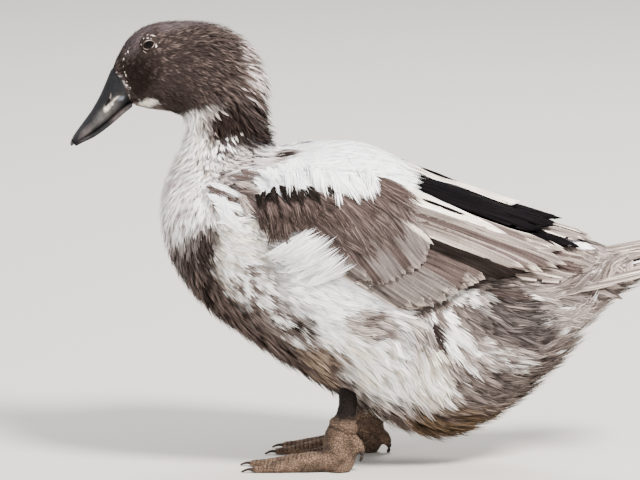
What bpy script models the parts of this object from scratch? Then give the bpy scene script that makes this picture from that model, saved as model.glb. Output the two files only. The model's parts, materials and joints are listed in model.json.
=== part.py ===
"""A young domestic Muscovy duck standing still, at life size, as closed solids for each part of its body.

The duck faces -Y, its left side is +X, and its soles stand on Z = 0. Lengths are in metres.
Body, bill and tail are lofts through a few named sections; the wings are laid over the trunk.
"""

import math
from collections import namedtuple

import bmesh
import bpy
import numpy as np
from mathutils import Matrix, Vector
from mathutils.bvhtree import BVHTree

MM = 0.001
BODY_POINTS = 24  # points round a section of head, neck and trunk
RINGS_PER_SPAN = 2  # rings made between two named sections
SEAM = 0.0003  # clear gap where two solids meet
PARTING = 0.05  # share of a span left open where the loft is parted

EYE_RADIUS = 7.0 * MM
EYE_DEPTH = 5.4 * MM  # how far the eye's centre lies inside the side of the head
EYE_PLACE = (-164.4, 288.6)  # along and up, in millimetres

MANDIBLE_THICKNESS = 2.6
MANDIBLE_SHARE = 0.88  # of the upper bill's width
NAIL_FROM = 6.0  # the bill section where the nail begins

ANKLE_HEIGHT = 36.5 * MM  # the fold where the foot's solid ends and the shank's begins
TOE_RADIUS = 4.3 * MM
WEB_THICKNESS = 2.0 * MM
TOE_FLAT_HEIGHT = 3.2 * MM  # of a toe's middle line where it lies flat
TOE_RISE = 6.0 * MM  # from there up to the knuckle
TOE_DEPTH = 1.2  # of its width
TOE_SPREAD = 9.0 * MM  # from the pad's middle to each knuckle, along the toe's heading
TOE_START = -2.0 * MM  # how far ahead of the pad the knuckles lie
TOE_STEPS = 7
WEB_REACH = 0.90  # of the toes' length
WEB_NOTCH = 0.16  # how far its front edge is drawn back between them
WEB_STEPS = 6
CLAW_LENGTH = 8.5 * MM
CLAW_ARCH = 1.2 * MM
CLAW_RADIUS = 1.9 * MM
CLAW_SEAT = 1.5 * MM  # how far its root is set back into the toe
CLAW_TIP_HEIGHT = 1.0 * MM
LEG_LEAN = -0.03  # sideways for each unit of height, in towards the body
FOOT_VOXEL = 1.1 * MM
FOOT_KEPT = 0.048  # share of the remeshed triangles that a foot keeps

WING_LIFT = 6.5 * MM  # thickest place of the folded wing
WING_EDGE = 1.2 * MM
WING_GAP = 1.1 * MM  # from the body's facets to the wing's inner side
WING_ALONG = 24
WING_ACROSS = 8

# A section is cut across the body from its upper point to its lower one, both (along, up).
# full is the superellipse's power, and sag moves the widest place down.
Section = namedtuple("Section", "name top bottom half_width full sag")

BODY = [
    Section("face", (-188.4, 277.3), (-174.1, 245.3), 12.0, 2.2, 0.10),
    Section("lores", (-181.0, 291.0), (-169.3, 243.6), 15.0, 2.2, 0.08),
    Section("brow", (-168.6, 300.5), (-163.9, 242.4), 18.6, 2.3, 0.05),
    Section("crown", (-150.6, 304.2), (-158.4, 241.6), 21.4, 2.3, 0.05),
    Section("hindcrown", (-127.8, 302.6), (-152.3, 240.6), 22.4, 2.2, 0.00),
    Section("occiput", (-109.5, 295.4), (-147.6, 238.6), 22.4, 2.1, 0.00),
    Section("nape_top", (-95.9, 281.4), (-143.6, 235.4), 22.6, 2.0, 0.00),
    Section("nape", (-89.1, 262.5), (-141.8, 230.2), 23.0, 2.0, 0.00),
    Section("neck", (-88.6, 241.0), (-143.4, 221.0), 24.5, 2.0, 0.00),
    Section("neck_foot", (-85.0, 219.5), (-150.8, 206.7), 32.0, 2.0, 0.05),
    Section("mantle", (-66.0, 214.3), (-157.8, 190.2), 49.0, 2.1, 0.06),
    Section("shoulder", (-46.2, 217.6), (-159.6, 172.0), 65.0, 2.2, 0.04),
    Section("breast", (-25.8, 218.0), (-156.3, 150.0), 75.5, 2.3, 0.02),
    Section("back", (-5.4, 211.6), (-145.0, 126.6), 79.5, 2.35, 0.02),
    Section("keel", (15.0, 200.0), (-125.4, 103.9), 79.5, 2.35, 0.03),
    Section("loin", (35.4, 187.6), (-97.2, 83.2), 77.5, 2.3, 0.04),
    Section("belly", (57.0, 176.6), (-63.2, 60.4), 73.5, 2.2, 0.05),
    Section("saddle", (77.0, 167.6), (-28.2, 41.0), 67.5, 2.1, 0.05),
    Section("rump", (95.0, 161.6), (6.0, 23.6), 59.5, 2.0, 0.04),
    Section("paunch", (110.0, 157.4), (37.4, 16.8), 50.0, 1.95, 0.02),
    Section("vent", (123.0, 152.4), (69.3, 30.8), 40.5, 1.95, 0.00),
    Section("under_tail", (134.0, 148.3), (100.0, 55.5), 32.5, 2.0, 0.00),
    Section("tail_root", (143.5, 146.5), (128.0, 88.0), 28.5, 2.0, -0.05),
    Section("tail_base", (155.0, 147.6), (146.8, 113.0), 28.5, 2.1, -0.15),
    Section("tail_third", (170.0, 150.2), (165.6, 128.6), 32.0, 2.3, -0.25),
    Section("tail_fan", (189.0, 153.8), (186.4, 142.4), 36.5, 2.5, -0.25),
    Section("tail_round", (206.0, 157.0), (204.9, 150.6), 35.5, 2.5, -0.20),
    Section("tail_end", (217.0, 159.6), (216.6, 156.4), 24.0, 2.3, 0.00),
]

BILL = [
    Section("base", (-188.6, 276.4), (-177.6, 248.2), 11.6, 2.1, 0.12),
    Section("nostril", (-193.0, 266.0), (-182.7, 244.2), 11.0, 2.1, 0.20),
    Section("bridge", (-197.8, 254.4), (-188.9, 238.8), 10.7, 2.1, 0.25),
    Section("middle", (-203.4, 243.9), (-196.1, 232.8), 10.9, 2.1, 0.28),
    Section("spoon", (-209.3, 235.4), (-203.8, 227.4), 11.8, 2.2, 0.25),
    Section("fore", (-214.5, 228.3), (-210.2, 223.5), 11.6, 2.3, 0.20),
    Section("nail", (-218.1, 222.9), (-215.2, 220.2), 8.6, 2.3, 0.10),
    Section("tip", (-219.3, 219.2), (-218.0, 217.6), 3.4, 2.0, 0.00),
]

# The folded wing from its bend to its tip: place along the body, how far its upper edge is turned
# down from straight up (degrees, about the body's axis), and the height of its lower edge.
WingStation = namedtuple("WingStation", "along top_turn low_edge")
WING = [
    WingStation(-88.0, 74.0, 166.0),
    WingStation(-77.0, 58.0, 156.0),
    WingStation(-60.0, 49.0, 152.0),
    WingStation(-36.0, 43.0, 143.0),
    WingStation(-15.0, 38.0, 132.0),
    WingStation(5.0, 28.0, 121.0),
    WingStation(22.0, 15.0, 119.0),
    WingStation(42.0, 5.0, 129.0),
    WingStation(64.0, 2.0, 137.0),
    WingStation(88.0, 2.0, 136.0),
    WingStation(110.0, 2.0, 138.0),
    WingStation(128.0, 3.0, 143.0),
    WingStation(144.0, 8.0, 147.0),
]

# Where each foot stands: (side, along) of its pad, how far its toes turn out in degrees (less than
# none is in towards the other foot), and how high its short hind toe is held.
FootPlace = namedtuple("FootPlace", "name side pad turn hind_lift")
FEET = [
    FootPlace("left", 1, (38.0 * MM, -36.0 * MM), -16.0, 8.0 * MM),
    FootPlace("right", -1, (-37.0 * MM, -17.0 * MM), -7.0, 0.0),
]

# The leg from its sole up into the belly, as level ovals: height, how far back of the pad its
# middle lies, half its width and half its depth, in millimetres.
LegRing = namedtuple("LegRing", "height back half_width half_depth")
LEG = [
    LegRing(0.0, -1.0, 7.5, 8.0),
    LegRing(4.0, -0.5, 8.8, 10.0),
    LegRing(9.0, 0.0, 9.3, 11.2),
    LegRing(15.0, 0.0, 9.3, 11.6),
    LegRing(21.0, 0.0, 9.0, 11.4),
    LegRing(27.0, 0.5, 8.6, 10.8),
    LegRing(32.0, 1.5, 8.0, 9.6),
    LegRing(36.5, 3.0, 7.2, 7.9),
    LegRing(40.0, 4.2, 6.6, 6.8),
    LegRing(46.0, 5.2, 6.4, 6.2),
    LegRing(54.0, 5.4, 6.8, 6.5),
    LegRing(64.0, 6.5, 8.5, 9.0),
    LegRing(78.0, 9.0, 11.0, 12.0),
]
ANKLE_RING = 7  # the ring at the fold

# Each toe: name, heading out from straight ahead (degrees), length and girth, of a left foot.
Toe = namedtuple("Toe", "name heading length girth")
TOES = [
    Toe("inner", -24.0, 45.0 * MM, 0.90),
    Toe("middle", -2.0, 62.0 * MM, 1.05),
    Toe("outer", 18.0, 57.0 * MM, 1.0),
]

FEATHER_GREY = (0.45, 0.41, 0.39, 1.0)
FEATHER_WHITE = (0.80, 0.78, 0.76, 1.0)
FEATHER_BROWN = (0.24, 0.20, 0.18, 1.0)
HEAD_BROWN = (0.12, 0.09, 0.08, 1.0)
BILL_SLATE = (0.06, 0.07, 0.08, 1.0)
NAIL_BLACK = (0.02, 0.02, 0.02, 1.0)
EYE_BLACK = (0.01, 0.008, 0.006, 1.0)
LEG_BROWN = (0.22, 0.17, 0.14, 1.0)
CLAW_HORN = (0.07, 0.06, 0.05, 1.0)


def clear_scene():
    for old in list(bpy.data.objects):
        bpy.data.objects.remove(old)


def new_collection(name):
    collection = bpy.data.collections.new(name)
    bpy.context.scene.collection.children.link(collection)
    return collection


def material(name, colour, roughness, metallic=0.0):
    made = bpy.data.materials.new(name)
    made.use_nodes = True
    shader = made.node_tree.nodes["Principled BSDF"]
    shader.inputs["Base Color"].default_value = colour
    shader.inputs["Roughness"].default_value = roughness
    shader.inputs["Metallic"].default_value = metallic
    made.diffuse_color = colour
    return made


def object_from(name, points, faces, collection, finish=None):
    """A mesh object of these points and faces, with its faces turned outwards and shaded smooth."""
    mesh = bpy.data.meshes.new(name)
    mesh.from_pydata([tuple(p) for p in points], [], faces)
    work = bmesh.new()
    work.from_mesh(mesh)
    bmesh.ops.recalc_face_normals(work, faces=work.faces)
    work.to_mesh(mesh)
    work.free()
    mesh.shade_smooth()
    if finish:
        mesh.materials.append(finish)
    made = bpy.data.objects.new(name, mesh)
    collection.objects.link(made)
    return made


def cutter(made):
    made.hide_render = True
    made.display_type = "WIRE"
    return made


def boolean(target, tool, operation="DIFFERENCE"):
    step = target.modifiers.new(operation.title(), "BOOLEAN")
    step.operation = operation
    step.object = tool
    step.solver = "EXACT"


def through(values, place):
    """The value at this place on a smooth curve through evenly numbered values (Catmull-Rom)."""
    last = len(values) - 1
    i = min(max(int(math.floor(place)), 0), last - 1)
    t = place - i
    before, start, end, after = (np.asarray(values[min(max(i + k, 0), last)], float) for k in (-1, 0, 1, 2))
    if i == 0:
        before = 2 * start - end
    if i == last - 1:
        after = 2 * end - start
    return 0.5 * (
        2 * start
        + (end - before) * t
        + (2 * before - 5 * start + 4 * end - after) * t**2
        + (3 * start - before - 3 * end + after) * t**3
    )


def ring(top, bottom, half_width, full, sag, count=BODY_POINTS):
    """One closed section in metres, from its upper point round its left side and back."""
    top, bottom = np.asarray(top) * MM, np.asarray(bottom) * MM
    middle, reach = (top + bottom) / 2, (top - bottom) / 2
    points = []
    for k in range(count):
        angle = 2 * math.pi * k / count
        up = math.copysign(abs(math.cos(angle)) ** (2 / full), math.cos(angle))
        out = math.copysign(abs(math.sin(angle)) ** (2 / full), math.sin(angle))
        along, height = middle + reach * up
        points.append((half_width * MM * out * (1 - sag * up), along, height))
    return points


def section_at(sections, place):
    """The ring at a place numbered along a list of sections, such as 2.5 between the third and fourth."""
    packed = [(*s.top, *s.bottom, s.half_width, s.full, s.sag) for s in sections]
    top_y, top_z, low_y, low_z, half_width, full, sag = through(packed, place)
    return ring((top_y, top_z), (low_y, low_z), half_width, full, sag)


def loft(name, rings, collection, finish=None):
    """A closed body through rings of equal counts, with a flat cap at each end."""
    count = len(rings[0])
    points = [p for r in rings for p in r]
    faces = []
    for i in range(len(rings) - 1):
        for k in range(count):
            a, b = i * count + k, i * count + (k + 1) % count
            faces.append((a, b, b + count, a + count))
    faces.append(tuple(range(count)))
    faces.append(tuple((len(rings) - 1) * count + k for k in range(count)))
    return object_from(name, points, faces, collection, finish)


def loft_between(name, sections, first, last, collection, finish, per_span=RINGS_PER_SPAN):
    steps = max(2, round((last - first) * per_span))
    places = [first + (last - first) * k / steps for k in range(steps + 1)]
    return loft(name, [section_at(sections, p) for p in places], collection, finish)


def index_of(name):
    return [s.name for s in BODY].index(name)


def make_body(parts, plumage):
    """Head, neck, trunk and tail: one loft, parted by thin cuts across it."""
    cuts = [index_of("nape_top"), index_of("mantle") - 0.5, index_of("tail_root"), len(BODY) - 1]
    names = ["head", "neck", "trunk", "tail"]
    made, start = {}, 0.0
    for name, end in zip(names, cuts):
        last = end - PARTING if name != "tail" else end
        made[name] = loft_between(name, BODY, start, last, parts, plumage[name])
        start = end + PARTING
    return made


def surface_tree(objects):
    """One tree of these objects' faces, for casting rays at the body."""
    points, faces = [], []
    for made in objects:
        base = len(points)
        points += [made.matrix_world @ v.co for v in made.data.vertices]
        faces += [tuple(base + i for i in f.vertices) for f in made.data.polygons]
    return BVHTree.FromPolygons(points, faces)


def grown(source, name, by, collection):
    """A copy of a solid with every point moved out by this much, to cut a clear gap."""
    mesh = source.data.copy()
    made = bpy.data.objects.new(name, mesh)
    collection.objects.link(made)
    normals = [v.normal.copy() for v in mesh.vertices]
    for vertex, normal in zip(mesh.vertices, normals):
        vertex.co += normal * by
    return cutter(made)


def body_axis(along):
    """Height of the line through the middle of the trunk, at a place along it in metres."""
    return float(np.interp(along / MM, [-100, -40, 40, 110, 150], [172, 150, 120, 118, 132])) * MM


def cast_out(tree, along, turn):
    """Where a ray from the trunk's middle line, turned down this many degrees, leaves the body."""
    start = Vector((0, along, body_axis(along)))
    direction = Vector((math.sin(math.radians(turn)), 0, math.cos(math.radians(turn))))
    hit = tree.ray_cast(start, direction)[0]
    return hit, direction


def turn_at_height(tree, along, height):
    """The turn, in degrees, at which the body's side has this height."""
    best = min(
        (t for t in np.arange(20.0, 150.0, 1.0)),
        key=lambda t: abs((cast_out(tree, along, t)[0] or Vector((0, 0, 9))).z - height),
    )
    return float(best)


def make_wing(name, side, tree, parts, finish):
    """A folded wing: a thin lens laid on the body's side, thickest along its middle."""
    stations = len(WING) - 1
    rows = []
    for i in range(WING_ALONG + 1):
        along, top_turn, low_edge = through(WING, stations * i / WING_ALONG)
        along *= MM
        low_turn = turn_at_height(tree, along, low_edge * MM)
        rows.append((along, top_turn, low_turn))
    low_turns = np.array([r[2] for r in rows])
    low_turns[1:-1] = (low_turns[:-2] + 2 * low_turns[1:-1] + low_turns[2:]) / 4
    inner, outer = [], []
    for i, (along, top_turn, _) in enumerate(rows):
        share = i / WING_ALONG
        swell = math.sin(math.pi * min(1.0, 0.12 + share * 0.8)) ** 0.6
        for j in range(WING_ACROSS + 1):
            across = j / WING_ACROSS
            turn = top_turn + (low_turns[i] - top_turn) * across
            hit, direction = cast_out(tree, along, turn)
            bulge = math.sin(math.pi * (0.06 + 0.88 * across)) ** 0.7
            lift = WING_EDGE + (WING_LIFT - WING_EDGE) * swell * bulge
            base = hit + direction * WING_GAP
            tip = hit + direction * (WING_GAP + lift)
            inner.append((side * base.x, base.y, base.z))
            outer.append((side * tip.x, tip.y, tip.z))
    width = WING_ACROSS + 1
    faces = []
    half = len(inner)
    for i in range(WING_ALONG):
        for j in range(WING_ACROSS):
            a = i * width + j
            faces.append((a, a + 1, a + width + 1, a + width))
            faces.append((half + a, half + a + width, half + a + width + 1, half + a + 1))
    rim = [i * width for i in range(WING_ALONG)]
    rim += [WING_ALONG * width + j for j in range(WING_ACROSS)]
    rim += [i * width + WING_ACROSS for i in range(WING_ALONG, 0, -1)]
    rim += list(range(WING_ACROSS, 0, -1))
    for a, b in zip(rim, rim[1:] + rim[:1]):
        faces.append((a, b, half + b, half + a))
    return object_from(name, inner + outer, faces, parts, finish)


def sphere(name, centre, radius, segments, rings, collection, finish=None):
    work = bmesh.new()
    bmesh.ops.create_uvsphere(work, u_segments=segments, v_segments=rings, radius=radius)
    mesh = bpy.data.meshes.new(name)
    work.to_mesh(mesh)
    work.free()
    mesh.shade_smooth()
    if finish:
        mesh.materials.append(finish)
    made = bpy.data.objects.new(name, mesh)
    made.location = centre
    made.rotation_euler = (0, math.pi / 2, 0)
    collection.objects.link(made)
    return made


def make_eyes(head, tree, parts, helpers, finish):
    """Each eye is a ball set in a socket cut in the side of the head."""
    along, height = (v * MM for v in EYE_PLACE)
    hit = tree.ray_cast(Vector((0, along, height)), Vector((1, 0, 0)))[0]
    for name, side in (("left", 1), ("right", -1)):
        centre = (side * (hit.x - EYE_DEPTH), along, height)
        sphere(f"eye_{name}", centre, EYE_RADIUS, 16, 10, parts, finish)
        socket = sphere(f"socket_{name}", centre, EYE_RADIUS + 1.5 * SEAM, 16, 10, helpers)
        boolean(head, cutter(socket))


def make_bill(parts, slate, nail):
    """Upper bill, its nail and the thin mandible that lies under the upper bill's edge."""
    last = len(BILL) - 1
    loft_between("bill_upper", BILL, 0, NAIL_FROM - PARTING, parts, slate, 1.5)
    loft_between("bill_nail", BILL, NAIL_FROM + PARTING, last, parts, nail, 3)
    under = []
    for s in BILL[:-1]:
        top, bottom = Vector(s.top), Vector(s.bottom)
        down = (bottom - top).normalized()
        upper = bottom + down * SEAM * 1.5 / MM
        lower = upper + down * MANDIBLE_THICKNESS
        under.append(Section(s.name, tuple(upper), tuple(lower), s.half_width * MANDIBLE_SHARE, 2.4, 0.1))
    loft_between("bill_lower", under, 0, len(under) - 1, parts, slate, 1.5)


def tube(name, path, radii, collection, finish=None, count=14, flatten=1.0):
    """A closed tapering tube along a path, with round sections square to it."""
    rings = []
    for i, centre in enumerate(path):
        ahead = Vector(path[min(i + 1, len(path) - 1)]) - Vector(path[max(i - 1, 0)])
        turn = ahead.to_track_quat("Z", "Y").to_matrix()
        circle = []
        for k in range(count):
            angle = 2 * math.pi * k / count
            spoke = Vector((math.cos(angle), math.sin(angle) * flatten, 0)) * radii[i]
            circle.append(tuple(Vector(centre) + turn @ spoke))
        rings.append(circle)
    return loft(name, rings, collection, finish)


def toe_path(start, heading, length):
    """Points along a toe from its knuckle, falling from the pad to the floor, pointing ahead (-Y)."""
    points = []
    for i in range(TOE_STEPS + 1):
        share = i / TOE_STEPS
        out = math.sin(math.radians(heading)) * length * share
        ahead = -math.cos(math.radians(heading)) * length * share
        height = TOE_FLAT_HEIGHT + TOE_RISE * (1 - share) ** 2
        points.append(Vector((start[0] + out, start[1] + ahead, height)))
    return points


def toe_radii(girth):
    """A toe is thick at its knuckle, with a slight swelling at each of its joints."""
    found = []
    for i in range(TOE_STEPS + 1):
        share = i / TOE_STEPS
        joint = 0.10 * math.cos(share * 3 * 2 * math.pi)
        found.append(TOE_RADIUS * girth * (1.30 - 0.50 * share + joint * (1 - share)))
    return found


def make_web(name, first, second, helpers):
    """The web between two toes: a thin sheet whose front edge is drawn back between them."""
    rows = []
    steps = WEB_STEPS
    for i in range(steps + 1):
        share = i / steps * WEB_REACH
        a, b = (p[0].lerp(p[-1], share) for p in (first, second))
        back = (first[0] + second[0]) / 2
        row = []
        for j in range(steps + 1):
            across = j / steps
            point = a.lerp(b, across)
            pull = WEB_NOTCH * share**2 * math.sin(math.pi * across)
            point = point.lerp(back, pull)
            point.z = 0.4 * MM + 1.6 * MM * (1 - share) + 0.5 * WEB_THICKNESS
            row.append(point)
        rows.append(row)
    low = [(p.x, p.y, p.z - WEB_THICKNESS) for row in rows for p in row]
    high = [(p.x, p.y, p.z + 0.5 * WEB_THICKNESS) for row in rows for p in row]
    width, half, faces = steps + 1, len(low), []
    for i in range(steps):
        for j in range(steps):
            a = i * width + j
            faces.append((a, a + 1, a + width + 1, a + width))
            faces.append((half + a, half + a + width, half + a + width + 1, half + a + 1))
    rim = [i * width for i in range(steps)]
    rim += [steps * width + j for j in range(steps)]
    rim += [i * width + steps for i in range(steps, 0, -1)]
    rim += list(range(steps, 0, -1))
    for a, b in zip(rim, rim[1:] + rim[:1]):
        faces.append((a, b, half + b, half + a))
    return object_from(name, low + high, faces, helpers)


def claw_shape(name, base, heading, side, lift, length, collection, finish=None, grow=0.0):
    """A curved horn from the toe's end, arched over and bent down to the floor."""
    steps, path, radii = 5, [], []
    direction = Vector((math.sin(math.radians(heading)), -math.cos(math.radians(heading)), 0))
    for i in range(steps + 1):
        share = i / steps
        point = base + direction * length * share
        point.z = base.z + lift * math.sin(math.pi * share) - (base.z - CLAW_TIP_HEIGHT) * share**2
        path.append(point)
        radii.append(CLAW_RADIUS * (1.02 - 0.80 * share) + grow)
    if grow:
        path[0] = path[0] - direction * grow
        path[-1] = path[-1] + direction * grow
    points = [Vector((p.x * side, p.y, p.z)) for p in path]
    return tube(name, points, radii, collection, finish, count=8)


def moved(made, place):
    """Turns a foot's piece about its pad and sets it where the foot stands."""
    turn = Matrix.Rotation(math.radians(place.turn * place.side), 4, "Z")
    made.data.transform(Matrix.Translation((*place.pad, 0)) @ turn)
    return made


def floor_and_ankle_box(name, low, high, helpers):
    """A box cutter over the whole footprint between two heights."""
    work = bmesh.new()
    bmesh.ops.create_cube(work, size=1.0)
    mesh = bpy.data.meshes.new(name)
    work.to_mesh(mesh)
    work.free()
    mesh.transform(Matrix.Translation((0, 0, (low + high) / 2)) @ Matrix.Diagonal((0.4, 0.5, high - low, 1)))
    made = bpy.data.objects.new(name, mesh)
    helpers.objects.link(made)
    return cutter(made)


def joined(name, pieces, collection, finish):
    """Overlapping pieces in one mesh, to be fused by a voxel remesh."""
    work = bmesh.new()
    for piece in pieces:
        work.from_mesh(piece.data)
        bpy.data.objects.remove(piece)
    mesh = bpy.data.meshes.new(name)
    work.to_mesh(mesh)
    work.free()
    mesh.materials.append(finish)
    made = bpy.data.objects.new(name, mesh)
    collection.objects.link(made)
    return made


def leg_column(name, place, rings, collection, finish=None, count=16):
    """Level ovals of the leg, stacked; the leg leans in a little towards the body."""
    lofted = []
    for r in rings:
        lean = LEG_LEAN * r.height * place.side
        oval = []
        for k in range(count):
            angle = 2 * math.pi * k / count
            x = place.pad[0] + (lean + r.half_width * math.sin(angle)) * MM
            y = place.pad[1] + (r.back + r.half_depth * math.cos(angle)) * MM
            oval.append((x, y, r.height * MM))
        lofted.append(oval)
    return loft(name, lofted, collection, finish)


def hind_toe(place, helpers):
    """The short raised toe behind, and where and how its claw leaves it."""
    line = [(-3.0, 7.5, 15.0), (-3.5, 11.6, 11.5), (-3.8, 13.6, 7.5), (-3.8, 14.2, 4.5)]
    path = [Vector((x * place.side * MM, y * MM, z * MM + place.hind_lift)) for x, y, z in line]
    return tube(f"toe_hind_{place.name}", path, [r * MM for r in (3.4, 3.6, 3.1, 2.3)], helpers)


def hind_claw(name, place, collection, finish=None, grow=0.0):
    """A small claw that hangs from the hind toe, bent forward at its tip."""
    line = [(14.0, 6.2, 1.7), (14.6, 4.2, 1.5), (14.5, 2.0, 1.1), (13.7, 0.2, 0.6), (13.1, -0.6, 0.4)]
    path = [Vector((-3.8 * place.side * MM, y * MM, z * MM + place.hind_lift)) for y, z, _ in line]
    radii = [r * MM + grow for _, _, r in line]
    if grow:
        path[0] += Vector((0, 0, grow))
    return tube(name, path, radii, collection, finish, count=8)


def make_foot(place, parts, helpers, skin, horn, floor, above):
    """Pad, three webbed toes and a short hind toe, fused, with a claw set in the end of each."""
    side, name = place.side, place.name
    pieces, claws, paths = [], [], {}
    for toe in TOES:
        start = Vector((math.sin(math.radians(toe.heading)) * TOE_SPREAD, TOE_START, 0))
        path = toe_path(start, toe.heading, toe.length)
        paths[toe.name] = [Vector((p.x * side, p.y, p.z)) for p in path]
        radii = toe_radii(toe.girth)
        pieces.append(tube(f"toe_{toe.name}_{name}", paths[toe.name], radii, helpers, flatten=TOE_DEPTH))
        seat = path[-1] - (path[-1] - path[-2]).normalized() * CLAW_SEAT
        claws.append((toe.name, seat, toe.heading))
    for first, second in (("inner", "middle"), ("middle", "outer")):
        pieces.append(make_web(f"web_{first}_{name}", paths[first], paths[second], helpers))
    pieces.append(hind_toe(place, helpers))
    for piece in pieces:
        moved(piece, place)
    pieces.append(leg_column(f"ankle_{name}", place, LEG[: ANKLE_RING + 2], helpers))
    foot = joined(f"foot_{name}", pieces, parts, skin)
    fuse = foot.modifiers.new("Fuse", "REMESH")
    fuse.mode = "VOXEL"
    fuse.voxel_size = FOOT_VOXEL
    even = foot.modifiers.new("Even", "SMOOTH")
    even.factor = 0.5
    even.iterations = 2
    thin = foot.modifiers.new("Thin", "DECIMATE")
    thin.ratio = FOOT_KEPT
    boolean(foot, floor)
    boolean(foot, above)
    for toe_name, base, heading in claws:
        shape = (base, heading, side, CLAW_ARCH, CLAW_LENGTH)
        moved(claw_shape(f"claw_{name}_{toe_name}", *shape, parts, horn), place)
        bed = moved(claw_shape(f"bed_{name}_{toe_name}", *shape, helpers, grow=SEAM), place)
        boolean(foot, cutter(bed))
    claw = moved(hind_claw(f"claw_{name}_hind", place, parts, horn), place)
    boolean(claw, floor)
    bed = moved(hind_claw(f"bed_{name}_hind", place, helpers, grow=SEAM), place)
    boolean(foot, cutter(bed))


def make_leg(place, trunk_grown, parts, finish):
    """The bare shank from the ankle's fold up to where the belly covers it."""
    first = LEG[ANKLE_RING]._replace(height=(ANKLE_HEIGHT + SEAM) / MM)
    leg = leg_column(f"leg_{place.name}", place, [first, *LEG[ANKLE_RING + 1:]], parts, finish)
    boolean(leg, trunk_grown)


def stand_on_origin(collections):
    """Shifts everything so that the middle of the bounding box's floor is the origin."""
    bpy.context.view_layer.update()
    graph = bpy.context.evaluated_depsgraph_get()
    corners = []
    for made in collections[0].objects:
        evaluated = made.evaluated_get(graph)
        mesh = evaluated.to_mesh()
        corners += [evaluated.matrix_world @ v.co for v in mesh.vertices]
        evaluated.to_mesh_clear()
    low = Vector(min(c[k] for c in corners) for k in range(3))
    high = Vector(max(c[k] for c in corners) for k in range(3))
    shift = Vector((-(low.x + high.x) / 2, -(low.y + high.y) / 2, -low.z))
    for collection in collections:
        for made in collection.objects:
            made.location += shift


def main():
    clear_scene()
    parts = new_collection("duck")
    helpers = new_collection("helpers")
    plumage = {
        "head": material("head_brown", HEAD_BROWN, 0.85),
        "neck": material("neck_white", FEATHER_WHITE, 0.85),
        "trunk": material("body_grey", FEATHER_GREY, 0.85),
        "tail": material("tail_grey", FEATHER_GREY, 0.75),
    }
    wing_finish = material("wing_brown", FEATHER_BROWN, 0.7)
    leg_finish = material("leg_skin", LEG_BROWN, 0.6)
    horn = material("claw_horn", CLAW_HORN, 0.45)
    body = make_body(parts, plumage)
    tree = surface_tree(body.values())
    make_eyes(body["head"], tree, parts, helpers, material("eye", EYE_BLACK, 0.05))
    make_bill(parts, material("bill_slate", BILL_SLATE, 0.4), material("nail", NAIL_BLACK, 0.35))
    for name, side in (("wing_left", 1), ("wing_right", -1)):
        make_wing(name, side, tree, parts, wing_finish)
    trunk_grown = grown(body["trunk"], "trunk_grown", SEAM, helpers)
    floor = floor_and_ankle_box("below_floor", -20 * MM, 0.0, helpers)
    above = floor_and_ankle_box("above_ankle", ANKLE_HEIGHT - SEAM, 150 * MM, helpers)
    for place in FEET:
        make_foot(place, parts, helpers, leg_finish, horn, floor, above)
        make_leg(place, trunk_grown, parts, leg_finish)
    stand_on_origin([parts, helpers])


main()
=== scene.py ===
import json
import math
import random

import bmesh
import bpy
import numpy as np
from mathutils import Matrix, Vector, noise
from mathutils.bvhtree import BVHTree

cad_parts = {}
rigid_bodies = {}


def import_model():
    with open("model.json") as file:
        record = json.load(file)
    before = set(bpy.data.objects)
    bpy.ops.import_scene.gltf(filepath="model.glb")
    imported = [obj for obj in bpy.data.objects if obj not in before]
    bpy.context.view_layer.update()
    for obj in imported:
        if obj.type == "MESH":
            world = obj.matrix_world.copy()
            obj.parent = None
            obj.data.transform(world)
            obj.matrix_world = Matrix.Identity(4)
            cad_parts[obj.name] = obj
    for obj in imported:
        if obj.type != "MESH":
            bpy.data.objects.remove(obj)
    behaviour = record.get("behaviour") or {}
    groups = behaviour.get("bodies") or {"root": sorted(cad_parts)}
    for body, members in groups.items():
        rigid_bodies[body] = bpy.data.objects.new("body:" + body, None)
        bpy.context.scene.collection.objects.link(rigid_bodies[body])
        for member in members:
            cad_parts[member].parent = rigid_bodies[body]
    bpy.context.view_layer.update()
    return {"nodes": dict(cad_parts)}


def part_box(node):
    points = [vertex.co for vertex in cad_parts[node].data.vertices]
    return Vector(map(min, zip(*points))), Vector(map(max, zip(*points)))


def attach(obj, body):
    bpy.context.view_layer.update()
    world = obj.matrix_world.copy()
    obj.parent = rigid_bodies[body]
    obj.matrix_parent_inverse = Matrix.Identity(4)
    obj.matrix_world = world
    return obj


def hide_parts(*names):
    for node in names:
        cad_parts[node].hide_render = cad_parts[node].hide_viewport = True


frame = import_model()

nodes = frame["nodes"]
mm = 0.001
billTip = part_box("bill_nail")[0].y
shift = billTip + 219.3 * mm  # places below are along and up from the middle of the floor, less this
sightFall = 0.158  # how far a line of sight falls for each step across
billWay = (0, -0.876, -0.483)
billUp = (0, -0.483, 0.876)  # square to the bill's way
onFloor = 0.05 * mm  # the lowest that skin and claws reach


# small helpers

def newObject(name, data):
    made = bpy.data.objects.new(name, data)
    bpy.context.scene.collection.objects.link(made)
    return made


def meshObject(name, points, faces):
    mesh = bpy.data.meshes.new(name)
    mesh.from_pydata([tuple(p) for p in points], [], faces)
    mesh.update()
    mesh.shade_smooth()
    return newObject(name, mesh)


def meshFrom(work, name):
    mesh = bpy.data.meshes.new(name)
    work.to_mesh(mesh)
    work.free()
    return mesh


def cadCopy(*names):
    # a merged, welded copy of some of the CAD solids
    work = bmesh.new()
    for name in names:
        work.from_mesh(nodes[name].data)
    bmesh.ops.remove_doubles(work, verts=work.verts, dist=0.01 * mm)
    return work


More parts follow.
